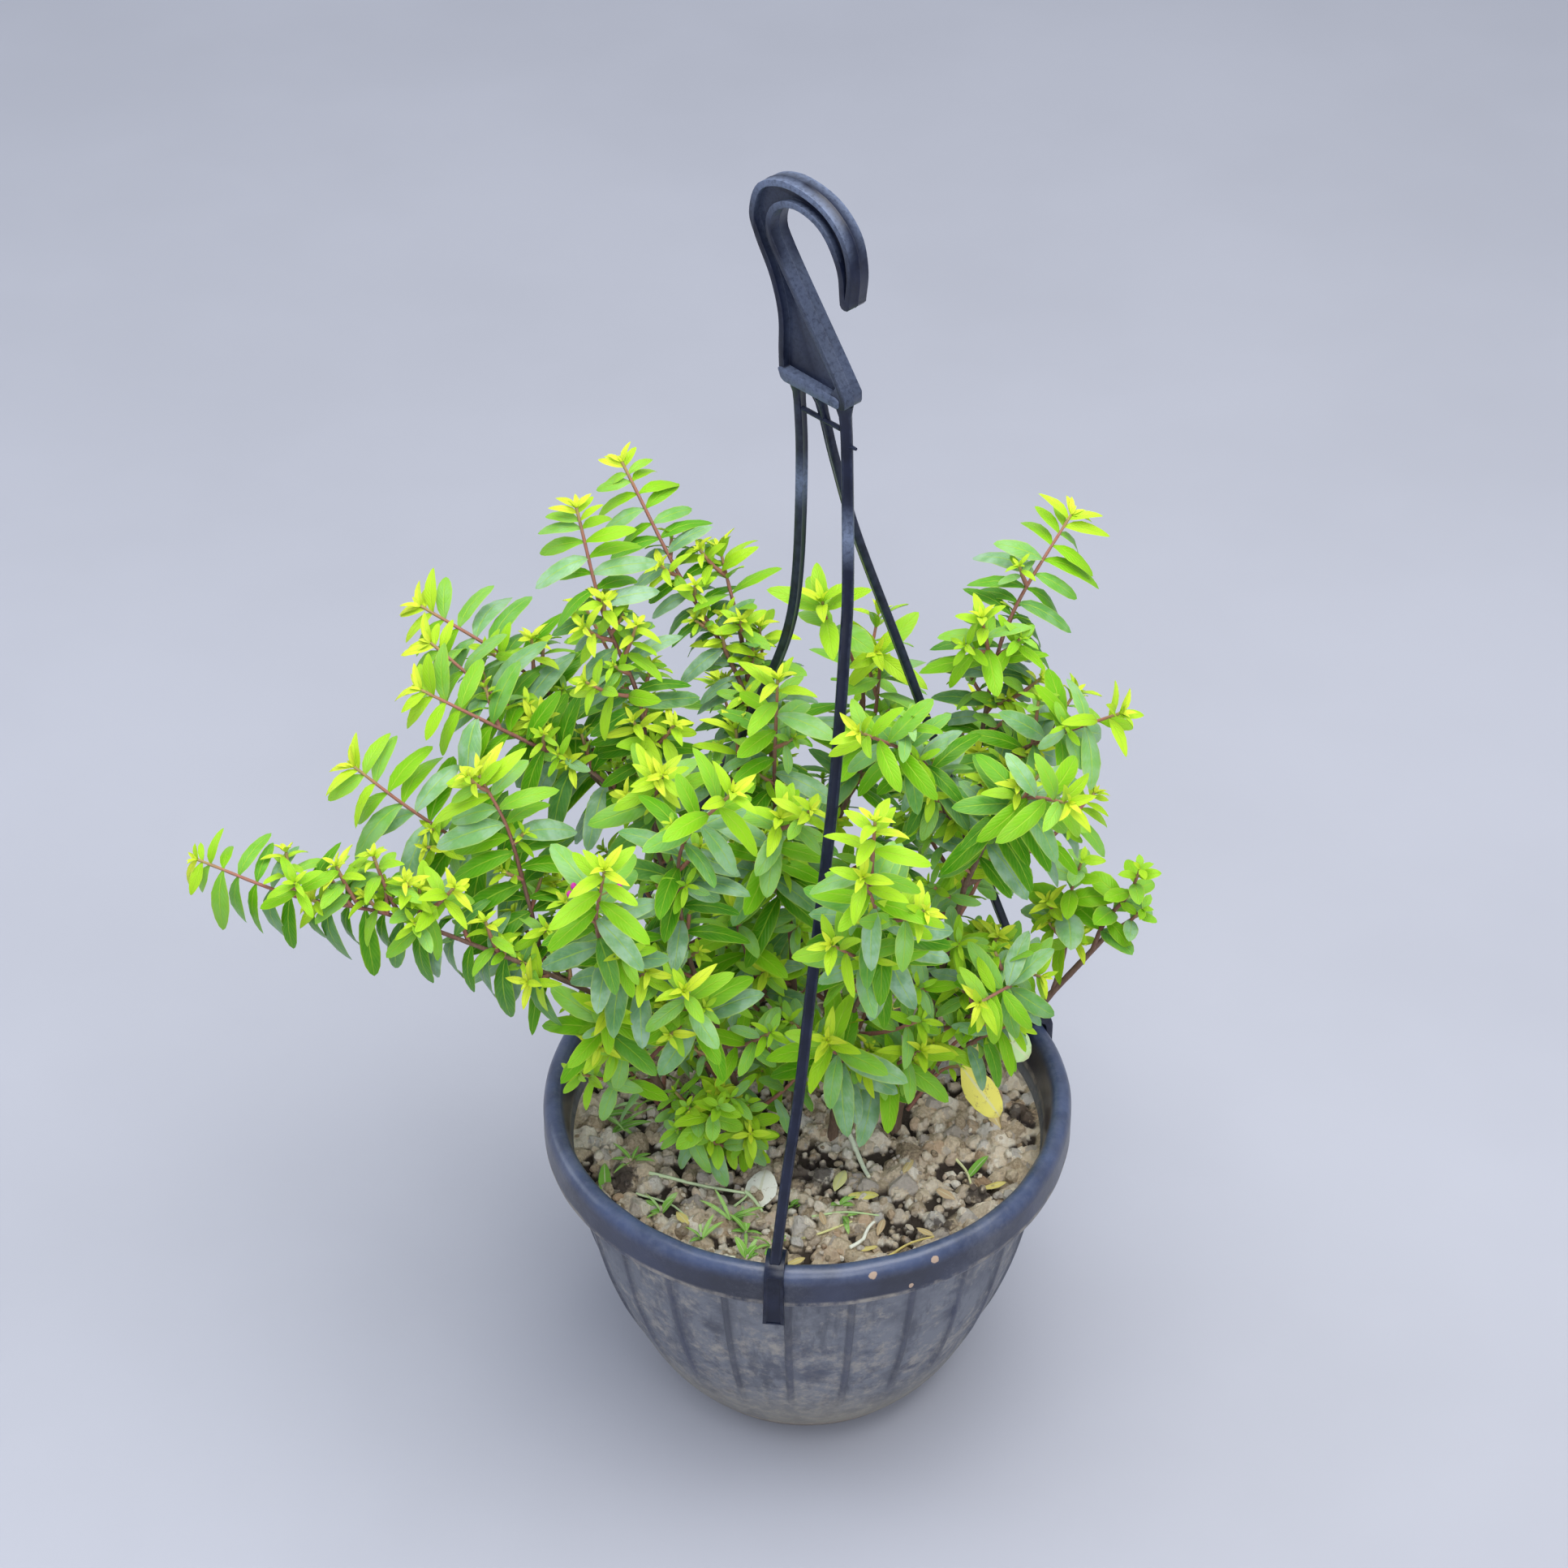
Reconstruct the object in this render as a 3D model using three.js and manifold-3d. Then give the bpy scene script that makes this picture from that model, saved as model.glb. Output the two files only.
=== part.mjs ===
// Potted false heather: a rounded hanging pot of black plastic with a clip-on hanger, filled with soil that
// carries a bush of leafy stems. Millimetres, +Z up, origin at the centre of the pot's foot, front towards -Y.
import * as THREE from "three";
import { mergeVertices } from "three/addons/utils/BufferGeometryUtils.js";
import Module from "manifold-3d";

const solids = await Module();
solids.setup();

// Clearance between neighbouring pieces
const GAP = 0.3;

// Pot: an outer rim band hangs down outside the bowl's top, and thin ribs run down the bowl
const RIM_RADIUS = 100;
const RIM_TOP = 131;
const RIM_CREST_RADIUS = 95;
const SKIRT_BOTTOM = 115;
const SKIRT_WALL = 2;
const FLOOR_THICKNESS = 2.2;
const FLOOR_RADIUS = 44;
const WALL_THICKNESS = 2;
const BOWL = [[42, 0], [54, 5.5], [67, 25], [82, 66], [91.5, SKIRT_BOTTOM - 3]];
const POT_SIDES = 32;
const RIB_COUNT = 24;
const RIB_PHASE = THREE.MathUtils.degToRad(10.7);
const RIB_WIDTH = 2.6;
const RIB_HEIGHT = 1;
const DRAIN_COUNT = 5;
const DRAIN_RADIUS = 4;
const DRAIN_CIRCLE = 26;

// Soil
const SOIL_TOP = 111;
const SOIL_EDGE_RADIUS = 88;
const SOIL_RINGS = [74, 56, 38, 19];
const SOIL_SIDES = 24;
const SOIL_LUMP = 1.44;
const STEM_FOOT = SOIL_TOP - 24;
const HOLE_RADIUS = 2.9;
const HOLE_DEPTH = 60;
const HOLE_SIDES = 6;

// Hanger: a hook of I section over three straps that clip on the rim
const HUB_HEIGHT = 443;
const HOOK_PLANE = -Math.PI / 4;
const HOOK_WIDTH = 8;
const HOOK_WEB = 2.5;
const HOOK_FLANGE = 2;
const STRAP_WIDTH = 4;
const STRAP_THICKNESS = 3;
const STRAP_STEPS = 15;
const CLIP_WIDTH = 7;
const CLIP_THICKNESS = 2.6;
const CLIP_BOTTOM = 108;
const CROSSBAR_DROP = 10.5;
const CROSSBAR_SIZE = 1.8;
const CROSSBAR_ENDS = [-3.2, 13.4];

// Stems and leaves. A blade's width and droop are shares of its length.
const WOOD_RADIUS = 2.2;
const WOOD_STEP = 40;
const SHOOT_RADIUS = 1.25;
const SHOOT_STEP = 30;
const TIP_RADIUS = 0.7;
const TWIG_LENGTH = 15;
const LEAF_LENGTH = 20;
const LEAF_WIDTH = 0.38;
const LEAF_THICKNESS = 1.2;
const LEAF_ROOT = 0.2;
const LEAF_EDGE = 0.5;
const LEAF_CLEARANCE = 2.2;
const PAIR_SPACING = 8;
const GOLDEN_ANGLE = 2.399963;

const material = (name, color, roughness, metalness = 0) =>
  new THREE.MeshStandardMaterial({ name, color, roughness, metalness });
const BLACK_PLASTIC = material("black_plastic", 0x2a2d36, 0.5);
const HANGER_PLASTIC = material("hanger_plastic", 0x1e2029, 0.45);
const SOIL = material("soil", 0x8a7358, 0.95);
const LEAF = material("leaf", 0x7fb32e, 0.55);

// Repeatable noise from 0 to 1 for a number
function noise(n) {
  const value = Math.sin(n * 12.9898) * 43758.5453;
  return value - Math.floor(value);
}

const vector = (point) => new THREE.Vector3(point[0], point[1], point[2]);

// A closed geometry as a solid that can be joined and cut
function solid(geometry) {
  const bare = geometry.index ? geometry : geometry.clone();
  bare.deleteAttribute("normal");
  bare.deleteAttribute("uv");
  const merged = mergeVertices(bare, 1e-4);
  return new solids.Manifold(new solids.Mesh({
    numProp: 3,
    vertProperties: Float32Array.from(merged.attributes.position.array),
    triVerts: Uint32Array.from(merged.index.array),
  }));
}

// Solids joined into one, pair by pair, which stays quick for hundreds of them
function joined(parts) {
  let layer = parts;
  while (layer.length > 1) {
    const next = [];
    for (let i = 0; i < layer.length; i += 2) {
      next.push(i + 1 < layer.length ? layer[i].add(layer[i + 1]) : layer[i]);
    }
    layer = next;
  }
  return layer[0];
}

function geometryOf(body) {
  const mesh = body.getMesh();
  const geometry = new THREE.BufferGeometry();
  const count = mesh.vertProperties.length / mesh.numProp;
  const positions = new Float32Array(count * 3);
  for (let i = 0; i < count; i += 1) {
    for (let axis = 0; axis < 3; axis += 1) {
      positions[3 * i + axis] = mesh.vertProperties[mesh.numProp * i + axis];
    }
  }
  geometry.setAttribute("position", new THREE.BufferAttribute(positions, 3));
  geometry.setIndex(new THREE.BufferAttribute(Uint32Array.from(mesh.triVerts), 1));
  geometry.computeVertexNormals();
  return geometry;
}

// A profile of [radius, height] points turned about the Z axis
function turned(profile, sides) {
  const points = profile.map(([radius, height]) => new THREE.Vector2(radius, height));
  const geometry = new THREE.LatheGeometry(points, sides);
  geometry.rotateX(Math.PI / 2);
  return geometry;
}

// A flat outline of [across, up] points, extruded evenly about the plane, then stood upright and turned
function upright(outline, thickness, turn) {
  const shape = new THREE.Shape(outline.map(([across, up]) => new THREE.Vector2(across, up)));
  const geometry = new THREE.ExtrudeGeometry(shape, { depth: thickness, bevelEnabled: false, steps: 1 });
  geometry.translate(0, 0, -thickness / 2);
  geometry.rotateX(Math.PI / 2);
  geometry.rotateZ(turn);
  return geometry;
}

// A closed outline drawn in by a distance, corner by corner
function inset(outline, distance) {
  return outline.map((point, i) => {
    const before = new THREE.Vector2(...outline[(i + outline.length - 1) % outline.length]);
    const after = new THREE.Vector2(...outline[(i + 1) % outline.length]);
    const here = new THREE.Vector2(...point);
    const inward = here.clone().sub(before).normalize();
    const outward = after.sub(here).normalize();
    const bisector = new THREE.Vector2(-inward.y - outward.y, inward.x + outward.x).normalize();
    const stretch = 1 / Math.max(0.5, bisector.dot(new THREE.Vector2(-inward.y, inward.x)));
    return [point[0] + bisector.x * distance * stretch, point[1] + bisector.y * distance * stretch];
  });
}

// Inner face of the bowl's wall from the rim band down, and of what fills it, drawn in by a distance
const bowlInside = (inward) => BOWL.slice(2, -1).map(([radius, height]) => [radius - inward, height + 0.6]);

function makePot() {
  const profile = [
    [0, 0],
    ...BOWL,
    [RIM_CREST_RADIUS - 1, RIM_TOP - 5],
    [RIM_RADIUS - SKIRT_WALL, RIM_TOP - 6],
    [RIM_RADIUS - SKIRT_WALL, SKIRT_BOTTOM],
    [RIM_RADIUS, SKIRT_BOTTOM],
    [RIM_RADIUS, RIM_TOP - 4],
    [RIM_CREST_RADIUS + 2, RIM_TOP - 0.4],
    [RIM_CREST_RADIUS, RIM_TOP],
    [RIM_CREST_RADIUS - 2.6, RIM_TOP - 3],
    [RIM_CREST_RADIUS - 5, SKIRT_BOTTOM],
    ...bowlInside(WALL_THICKNESS).reverse(),
    [FLOOR_RADIUS, FLOOR_THICKNESS],
    [0, FLOOR_THICKNESS],
  ];
  let pot = solid(turned(profile, POT_SIDES));
  const ribbed = BOWL.slice(2);
  const ribOuter = ribbed.map(([radius, height], i) => [radius + (i === 0 ? -0.4 : RIB_HEIGHT), height]);
  const ribInner = ribbed.map(([radius, height]) => [radius - 1, height]).reverse();
  for (let i = 0; i < RIB_COUNT; i += 1) {
    const turn = RIB_PHASE + (i / RIB_COUNT) * 2 * Math.PI;
    pot = pot.add(solid(upright([...ribOuter, ...ribInner], RIB_WIDTH, turn)));
  }
  for (let i = 0; i < DRAIN_COUNT; i += 1) {
    const turn = (i / DRAIN_COUNT) * 2 * Math.PI;
    const hole = new THREE.CylinderGeometry(DRAIN_RADIUS, DRAIN_RADIUS, 12, 8);
    hole.rotateX(Math.PI / 2);
    hole.translate(DRAIN_CIRCLE * Math.cos(turn), DRAIN_CIRCLE * Math.sin(turn), 0);
    pot = pot.subtract(solid(hole));
  }
  return geometryOf(pot);
}

// The stems of the bush. Each has a hole in the soil, bare wood and leafy shoots whose first point lies on what
// carries them. "leafy" is the length that bears leaves, "twigs" where side rosettes stand along the shoot.
const STEMS = [
  { name: "heather_stem_left_back",
    wood: [[-20, 34], [-21, 34, 150], [-23, 32, 205], [-22, 32, 240]],
    shoots: [
      { path: [[-22, 32, 240], [-20, 31, 278], [-29, 40, 303], [-47, 55, 329], [-67, 70, 367]], leafy: 112,
        habit: "feather", twigs: [0.3] },
      { path: [[-20, 31, 278], [-24, 46, 304], [-32, 62, 334]], leafy: 52, habit: "whorl", twigs: [0.5] },
      { path: [[-23, 32, 205], [-14, 44, 250], [-18, 52, 308]], leafy: 76, habit: "whorl", twigs: [0.35] },
      { path: [[-21, 34, 150], [-44, 62, 200], [-66, 84, 250], [-84, 96, 286]], leafy: 100, habit: "whorl",
        twigs: [0.6] },
    ] },
  { name: "heather_stem_left",
    wood: [[-38, 14], [-42, 14, 150], [-49, 12, 205], [-55, 8, 242]],
    shoots: [
      { path: [[-55, 8, 242], [-57, 6, 268], [-60, 10, 306], [-72, 20, 335], [-81, 30, 374]], leafy: 112,
        habit: "feather", twigs: [0.45] },
      { path: [[-55, 8, 242], [-54, -8, 272], [-53, -22, 296]], leafy: 40, habit: "whorl", twigs: [0.5] },
      { path: [[-49, 12, 205], [-62, 24, 240], [-88, 40, 277], [-110, 50, 295], [-141, 60, 311]], leafy: 92,
        habit: "feather", twigs: [0.4] },
      { path: [[-55, 8, 242], [-76, 10, 272], [-100, 10, 287], [-137, 10, 310]], leafy: 90, habit: "feather",
        twigs: [0.35] },
      { path: [[-62, 24, 240], [-90, 26, 274], [-114, 32, 292], [-136, 40, 309]], leafy: 66,
        habit: "feather", twigs: [0.5] },
    ] },
  { name: "heather_stem_left_low",
    wood: [[-46, -8], [-52, -14, 135], [-63, -23, 175], [-74, -30, 201]],
    shoots: [
      { path: [[-74, -30, 201], [-84, -36, 213], [-110, -45, 235], [-147, -50, 257], [-178, -55, 269],
        [-209, -60, 289]], leafy: 132, habit: "fringe", twigs: [0.5, 0.78] },
      { path: [[-74, -30, 201], [-93, -29, 216], [-99, -30, 246], [-105, -30, 279], [-114, -30, 303]],
        leafy: 92, habit: "feather", twigs: [0.3] },
      { path: [[-63, -23, 175], [-84, -6, 222], [-117, -5, 247], [-141, -10, 272], [-160, -10, 291]],
        leafy: 84, habit: "feather", twigs: [0.4] },
      { path: [[-63, -23, 175], [-72, -44, 198], [-70, -60, 222]], leafy: 44, habit: "whorl", twigs: [0.5] },
    ] },
  { name: "heather_stem_front_left",
    wood: [[-20, -14], [-22, -18, 120], [-26, -22, 150], [-34, -30, 190]],
    shoots: [
      { path: [[-34, -30, 190], [-56, -50, 222], [-72, -68, 262], [-68, -88, 308]], leafy: 100, habit: "whorl",
        twigs: [0.4] },
      { path: [[-34, -30, 190], [-43, -40, 235], [-44, -48, 284], [-26, -60, 319]], leafy: 96, habit: "whorl",
        twigs: [0.35] },
      { path: [[-34, -30, 190], [-40, -52, 212], [-43, -68, 238]], leafy: 44, habit: "whorl", twigs: [0.5] },
      { path: [[-22, -18, 120], [-32, -34, 132], [-38, -44, 150]], leafy: 34, habit: "whorl", twigs: [0.5] },
      { path: [[-22, -18, 120], [-30, -42, 126], [-36, -56, 138]], leafy: 34, habit: "whorl", twigs: [0.5] },
    ] },
  { name: "heather_stem_centre",
    wood: [[-4, 14], [-5, 12, 150], [-6, 8, 210]],
    shoots: [
      { path: [[-6, 8, 210], [-10, 10, 255], [-9, 18, 298]], leafy: 72, habit: "whorl", twigs: [0.35] },
      { path: [[-6, 8, 210], [-22, 4, 250], [-26, 12, 292]], leafy: 66, habit: "whorl", twigs: [] },
      { path: [[-6, 8, 210], [-14, -14, 248], [-10, -34, 288]], leafy: 72, habit: "whorl", twigs: [0.4] },
      { path: [[-5, 12, 150], [-20, -2, 190], [-26, -14, 230]], leafy: 60, habit: "whorl", twigs: [0.5] },
    ] },
  { name: "heather_stem_front",
    wood: [[10, -4], [12, -12, 140], [17, -28, 195]],
    shoots: [
      { path: [[17, -28, 195], [25, -56, 245], [23, -88, 290], [18, -106, 320]], leafy: 110, habit: "whorl",
        twigs: [0.5] },
      { path: [[25, -56, 245], [20, -80, 262], [8, -94, 281]], leafy: 34, habit: "whorl", twigs: [] },
      { path: [[12, -12, 140], [13, -40, 180], [7, -62, 210]], leafy: 50, habit: "whorl", twigs: [0.5] },
      { path: [[12, -12, 140], [28, -28, 165], [41, -40, 186]], leafy: 44, habit: "whorl", twigs: [0.6] },
    ] },
  { name: "heather_stem_right_front",
    wood: [[34, 2], [38, -4, 140], [48, -12, 195], [56, -18, 245]],
    shoots: [
      { path: [[56, -18, 245], [64, -38, 286], [73, -60, 317], [86, -80, 331]], leafy: 92, habit: "whorl",
        twigs: [0.5] },
      { path: [[56, -18, 245], [46, -16, 285], [38, -26, 308], [17, -48, 336]], leafy: 84, habit: "whorl",
        twigs: [0.35] },
      { path: [[38, -4, 140], [50, -32, 180], [56, -54, 212], [60, -70, 235]], leafy: 80, habit: "whorl",
        twigs: [0.4] },
      { path: [[48, -12, 195], [74, -8, 208], [99, 0, 220]], leafy: 48, habit: "whorl", twigs: [0.4] },
    ] },
  { name: "heather_stem_right_back",
    wood: [[46, 34], [50, 34, 150], [56, 32, 210], [60, 30, 250]],
    shoots: [
      { path: [[60, 30, 250], [66, 35, 300], [74, 46, 322], [93, 60, 352]], leafy: 96, habit: "feather",
        twigs: [0.3] },
      { path: [[66, 35, 300], [61, 30, 328]], leafy: 28, habit: "whorl", twigs: [] },
      { path: [[60, 30, 250], [74, 14, 280], [90, 0, 300], [108, -10, 316]], leafy: 78, habit: "whorl",
        twigs: [0.35] },
      { path: [[56, 32, 210], [78, 50, 240], [98, 66, 268]], leafy: 66, habit: "whorl", twigs: [0.4] },
    ] },
  { name: "heather_stem_twig",
    wood: [[62, 30], [70, 31, 122], [85, 31, 141], [113, 26, 187]],
    shoots: [
      { path: [[113, 26, 187], [124, 22, 204], [130, 16, 226]], leafy: 34, habit: "whorl", twigs: [] },
      { path: [[113, 26, 187], [108, 24, 208], [107, 20, 232]], leafy: 40, habit: "whorl", twigs: [] },
    ] },
  { name: "heather_stem_back",
    wood: [[8, 46], [8, 52, 150], [8, 58, 205]],
    shoots: [
      { path: [[8, 58, 205], [0, 62, 260], [3, 72, 304]], leafy: 80, habit: "whorl", twigs: [0.6] },
      { path: [[8, 58, 205], [18, 56, 250], [24, 56, 294]], leafy: 72, habit: "whorl", twigs: [0.4] },
      { path: [[8, 58, 205], [18, 84, 240], [26, 108, 274]], leafy: 72, habit: "whorl", twigs: [] },
      { path: [[8, 52, 150], [-16, 80, 195], [-34, 104, 244]], leafy: 90, habit: "whorl",
        twigs: [0.55] },
      { path: [[8, 52, 150], [40, 78, 195], [64, 96, 240]], leafy: 90, habit: "whorl", twigs: [0.55] },
    ] },
];

const curveThrough = (path) => new THREE.CatmullRomCurve3(path.map(vector), false, "catmullrom", 0.5);

// Points evenly spaced along a smooth curve through a path
function spaced(path, step) {
  const curve = curveThrough(path);
  return curve.getSpacedPoints(Math.max(1, Math.round(curve.getLength() / step)));
}

// The corners of a rod along the same curve: every point of the path, with a few between where they lie far apart
function corners(path, step) {
  const curve = curveThrough(path);
  const spans = path.length - 1;
  const points = [vector(path[0])];
  for (let span = 0; span < spans; span += 1) {
    const pieces = Math.max(1, Math.round(vector(path[span]).distanceTo(vector(path[span + 1])) / step));
    for (let i = 1; i <= pieces; i += 1) {
      points.push(curve.getPoint((span + i / pieces) / spans));
    }
  }
  return points;
}

// The point at a share of the length of a line of points
function pointAt(points, share) {
  const lengths = points.slice(1).map((point, i) => point.distanceTo(points[i]));
  let left = share * lengths.reduce((sum, length) => sum + length, 0);
  let i = 0;
  while (i < lengths.length - 1 && left > lengths[i]) {
    left -= lengths[i];
    i += 1;
  }
  return points[i].clone().lerp(points[i + 1], left / lengths[i]);
}

// The direction of a line of points at one of them
function heading(points, i) {
  const before = points[Math.max(0, i - 1)];
  const after = points[Math.min(points.length - 1, i + 1)];
  return after.clone().sub(before).normalize();
}

// A tapered rod of few sides round a line of points
function rod(points, startRadius, endRadius, sides) {
  const positions = [];
  const index = [];
  const last = points.length - 1;
  let across = new THREE.Vector3(1, 0, 0);
  points.forEach((point, i) => {
    const along = heading(points, i);
    across = across.clone().addScaledVector(along, -across.dot(along)).normalize();
    const other = along.clone().cross(across);
    const radius = startRadius + ((endRadius - startRadius) * i) / last;
    for (let k = 0; k < sides; k += 1) {
      const angle = (2 * Math.PI * k) / sides;
      const corner = point.clone().addScaledVector(across, radius * Math.cos(angle));
      corner.addScaledVector(other, radius * Math.sin(angle));
      positions.push(corner.x, corner.y, corner.z);
    }
  });
  for (let i = 0; i < last; i += 1) {
    for (let k = 0; k < sides; k += 1) {
      const a = i * sides + k;
      const b = i * sides + ((k + 1) % sides);
      index.push(a, b, b + sides, a, b + sides, a + sides);
    }
  }
  for (let k = 1; k < sides - 1; k += 1) {
    index.push(0, k + 1, k);
    index.push(last * sides, last * sides + k, last * sides + k + 1);
  }
  return meshed(positions, index);
}

function meshed(positions, index) {
  const geometry = new THREE.BufferGeometry();
  geometry.setAttribute("position", new THREE.Float32BufferAttribute(positions, 3));
  geometry.setIndex(index);
  return geometry;
}

// A leaf blade: pointed root and tip, a keel for the midrib and a drooping tip. It is broadest along one row of
// points in a young leaf near the tip of a shoot, and along two in a grown one.
function blade(leaf) {
  const { root, along, face, length } = leaf;
  const side = along.clone().cross(face);
  const half = (length * LEAF_WIDTH) / 2;
  const rows = leaf.pair < 3 ? [[0.45, 1]] : [[0.28, 0.9], [0.66, 0.86]];
  const at = (share, out, lift) => {
    const bend = -leaf.droop * length * share * share;
    return root.clone().addScaledVector(along, length * share).addScaledVector(side, out)
      .addScaledVector(face, bend + lift);
  };
  const points = [root.clone().addScaledVector(along, LEAF_ROOT)];
  rows.forEach(([share, width]) => {
    points.push(at(share, half * width, LEAF_EDGE));
    points.push(at(share, -half * width, LEAF_EDGE));
    points.push(at(share, 0, LEAF_EDGE - LEAF_THICKNESS));
  });
  points.push(at(1, 0, 0));
  const index = [];
  const tip = points.length - 1;
  for (let k = 0; k < 3; k += 1) {
    const next = (k + 1) % 3;
    index.push(0, 1 + k, 1 + next);
    if (rows.length > 1) {
      index.push(1 + k, 4 + k, 4 + next, 1 + k, 4 + next, 1 + next);
    }
    index.push(tip, tip - 3 + next, tip - 3 + k);
  }
  return meshed(points.flatMap((point) => point.toArray()), index);
}

// Length of a rod's straight pieces on a shoot or on a short twig
const rodStep = (shoot) => (shoot.leafy < TWIG_LENGTH ? TWIG_LENGTH : SHOOT_STEP);

// What is left of a vector square to a unit direction, at unit length
const squareTo = (from, direction) => from.clone().addScaledVector(direction, -from.dot(direction)).normalize();

// One leaf of a pair: it leans from the shoot by "open", and its upper face looks towards the tip, or up where
// the shoot spreads flat like a feather. On a fringe all leaves hang below the shoot.
function leafAt(root, ahead, shoot, pair, half) {
  const { habit, seed } = shoot;
  const random = noise(seed * 31 + pair * 2 + half + 1);
  const up = squareTo(Math.abs(ahead.z) > 0.94 ? new THREE.Vector3(0, -1, 0) : new THREE.Vector3(0, 0, 1), ahead);
  const across = ahead.clone().cross(up);
  let turn = half * Math.PI;
  if (habit === "whorl") {
    turn += (pair * Math.PI) / 2 + seed * GOLDEN_ANGLE + 0.25 * (random - 0.5);
  } else {
    turn += Math.PI / 2 + 0.3 * (pair % 2) + 0.5 * (random - 0.5);
  }
  let out = up.clone().multiplyScalar(Math.cos(turn)).addScaledVector(across, Math.sin(turn));
  if (habit === "fringe") {
    out = squareTo(out.add(new THREE.Vector3(0, 0, -0.9)), ahead);
  }
  const open = Math.min(1.2, 0.5 + 0.11 * pair) + 0.2 * (random - 0.5);
  const along = ahead.clone().multiplyScalar(Math.cos(open)).addScaledVector(out, Math.sin(open));
  const face = ahead.clone().multiplyScalar(Math.sin(open)).addScaledVector(out, -Math.cos(open));
  if (habit === "feather") {
    face.lerp(up, 0.75);
  }
  const growth = Math.min(1, 0.5 + 0.1 * pair);
  return {
    pair,
    root,
    along,
    face: squareTo(face, along),
    length: LEAF_LENGTH * growth * (0.88 + 0.24 * noise(seed * 17 + pair * 5 + half)),
    droop: 0.12 + 0.14 * random,
  };
}

// Every leaf of a shoot, in opposite pairs that stand closer together towards the tip
function leavesOf(shoot) {
  const points = spaced(shoot.path, 1);
  const axis = corners(shoot.path, rodStep(shoot));
  const leaves = [];
  let below = 0.5;
  for (let pair = 0; below < shoot.leafy && below < points.length - 3; pair += 1) {
    const place = points.length - 1 - Math.round(below);
    const root = pointAt(axis, place / (points.length - 1));
    const ahead = heading(points, place);
    leaves.push(leafAt(root, ahead, shoot, pair, 0), leafAt(root, ahead, shoot, pair, 1));
    below += PAIR_SPACING * Math.min(1, 0.3 + 0.2 * pair);
  }
  return leaves;
}

// A short side shoot that ends in a rosette
function twigOf(shoot, share, i) {
  const points = spaced(shoot.path, 1);
  const place = Math.round(share * (points.length - 1));
  const ahead = heading(points, place);
  const angle = (shoot.seed + i * 3) * GOLDEN_ANGLE;
  const out = new THREE.Vector3(Math.cos(angle), Math.sin(angle), 0.9);
  out.addScaledVector(ahead, -0.7 * out.dot(ahead)).normalize().addScaledVector(ahead, 0.55).normalize();
  const start = pointAt(corners(shoot.path, rodStep(shoot)), share);
  const middle = start.clone().addScaledVector(out, TWIG_LENGTH * 0.5);
  const tip = start.clone().addScaledVector(out, TWIG_LENGTH).add(new THREE.Vector3(0, 0, 2));
  return {
    path: [start.toArray(), middle.toArray(), tip.toArray()],
    leafy: TWIG_LENGTH - 3,
    habit: "whorl",
    seed: shoot.seed * 7 + i,
  };
}

// Which pairs of a shoot are built, counted from its tip: one in two, and one in three further down
const SHOOT_PAIRS = [1, 2, 4, 6, 9, 12];
const TWIG_PAIRS = [1, 2];

// The room that is taken: round spots along the straps, rods and leaves that are already placed
const taken = [];

function take(points, radius, owner, isLeaf = false) {
  points.forEach((point) => taken.push({ point, radius, owner, isLeaf }));
}

const spotsOf = (leaf) => [0.4, 0.6, 0.8, 1].map((share) =>
  leaf.root.clone().addScaledVector(leaf.along, leaf.length * share)
    .addScaledVector(leaf.face, -leaf.droop * leaf.length * share * share));

// A leaf is clear when it keeps well away from every other node, and off the leaves and rods of its own stem,
// apart from the rod that its root stands on
function isClear(leaf, owner) {
  const half = (leaf.length * LEAF_WIDTH) / 2;
  return spotsOf(leaf).every((spot, i) => taken.every((other) => {
    if (other.owner === owner && !other.isLeaf && i === 0) {
      return true;
    }
    const near = other.owner === owner ? 0.4 * half + 0.6 : half + LEAF_CLEARANCE;
    return spot.distanceTo(other.point) > near + other.radius;
  }));
}

// Every rod takes its room first, then the leaves that find room are added stem by stem
function makeStems() {
  const plans = STEMS.map((stem, stemIndex) => {
    const owner = stem.name;
    const [foot, ...rest] = stem.wood;
    const wood = [vector([...foot, STEM_FOOT]), ...corners([[...foot, SOIL_TOP + 3], ...rest], WOOD_STEP)];
    const shoots = stem.shoots.map((shoot, i) => ({ ...shoot, seed: stemIndex * 10 + i + 1 }));
    const twigs = shoots.flatMap((shoot) => shoot.twigs.map((share, i) => twigOf(shoot, share, i)));
    take(spaced([[...foot, SOIL_TOP], ...rest], 4), WOOD_RADIUS, owner);
    [...shoots, ...twigs].forEach((shoot) => take(spaced(shoot.path, 3), SHOOT_RADIUS, owner));
    return { owner, wood, shoots: [...shoots, ...twigs] };
  });
  return plans.map(({ owner, wood, shoots }) => {
    const parts = [solid(rod(wood, WOOD_RADIUS, SHOOT_RADIUS, 4))];
    shoots.forEach((shoot) => {
      parts.push(solid(rod(corners(shoot.path, rodStep(shoot)), SHOOT_RADIUS, TIP_RADIUS, 3)));
      const pairs = shoot.leafy < TWIG_LENGTH ? TWIG_PAIRS : SHOOT_PAIRS;
      leavesOf(shoot).filter((leaf) => pairs.includes(leaf.pair)).forEach((leaf) => {
        if (isClear(leaf, owner)) {
          parts.push(solid(blade(leaf)));
          take(spotsOf(leaf), (leaf.length * LEAF_WIDTH) / 2 - 1, owner, true);
        }
      });
    });
    return { name: owner, geometry: geometryOf(joined(parts)) };
  });
}

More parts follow.
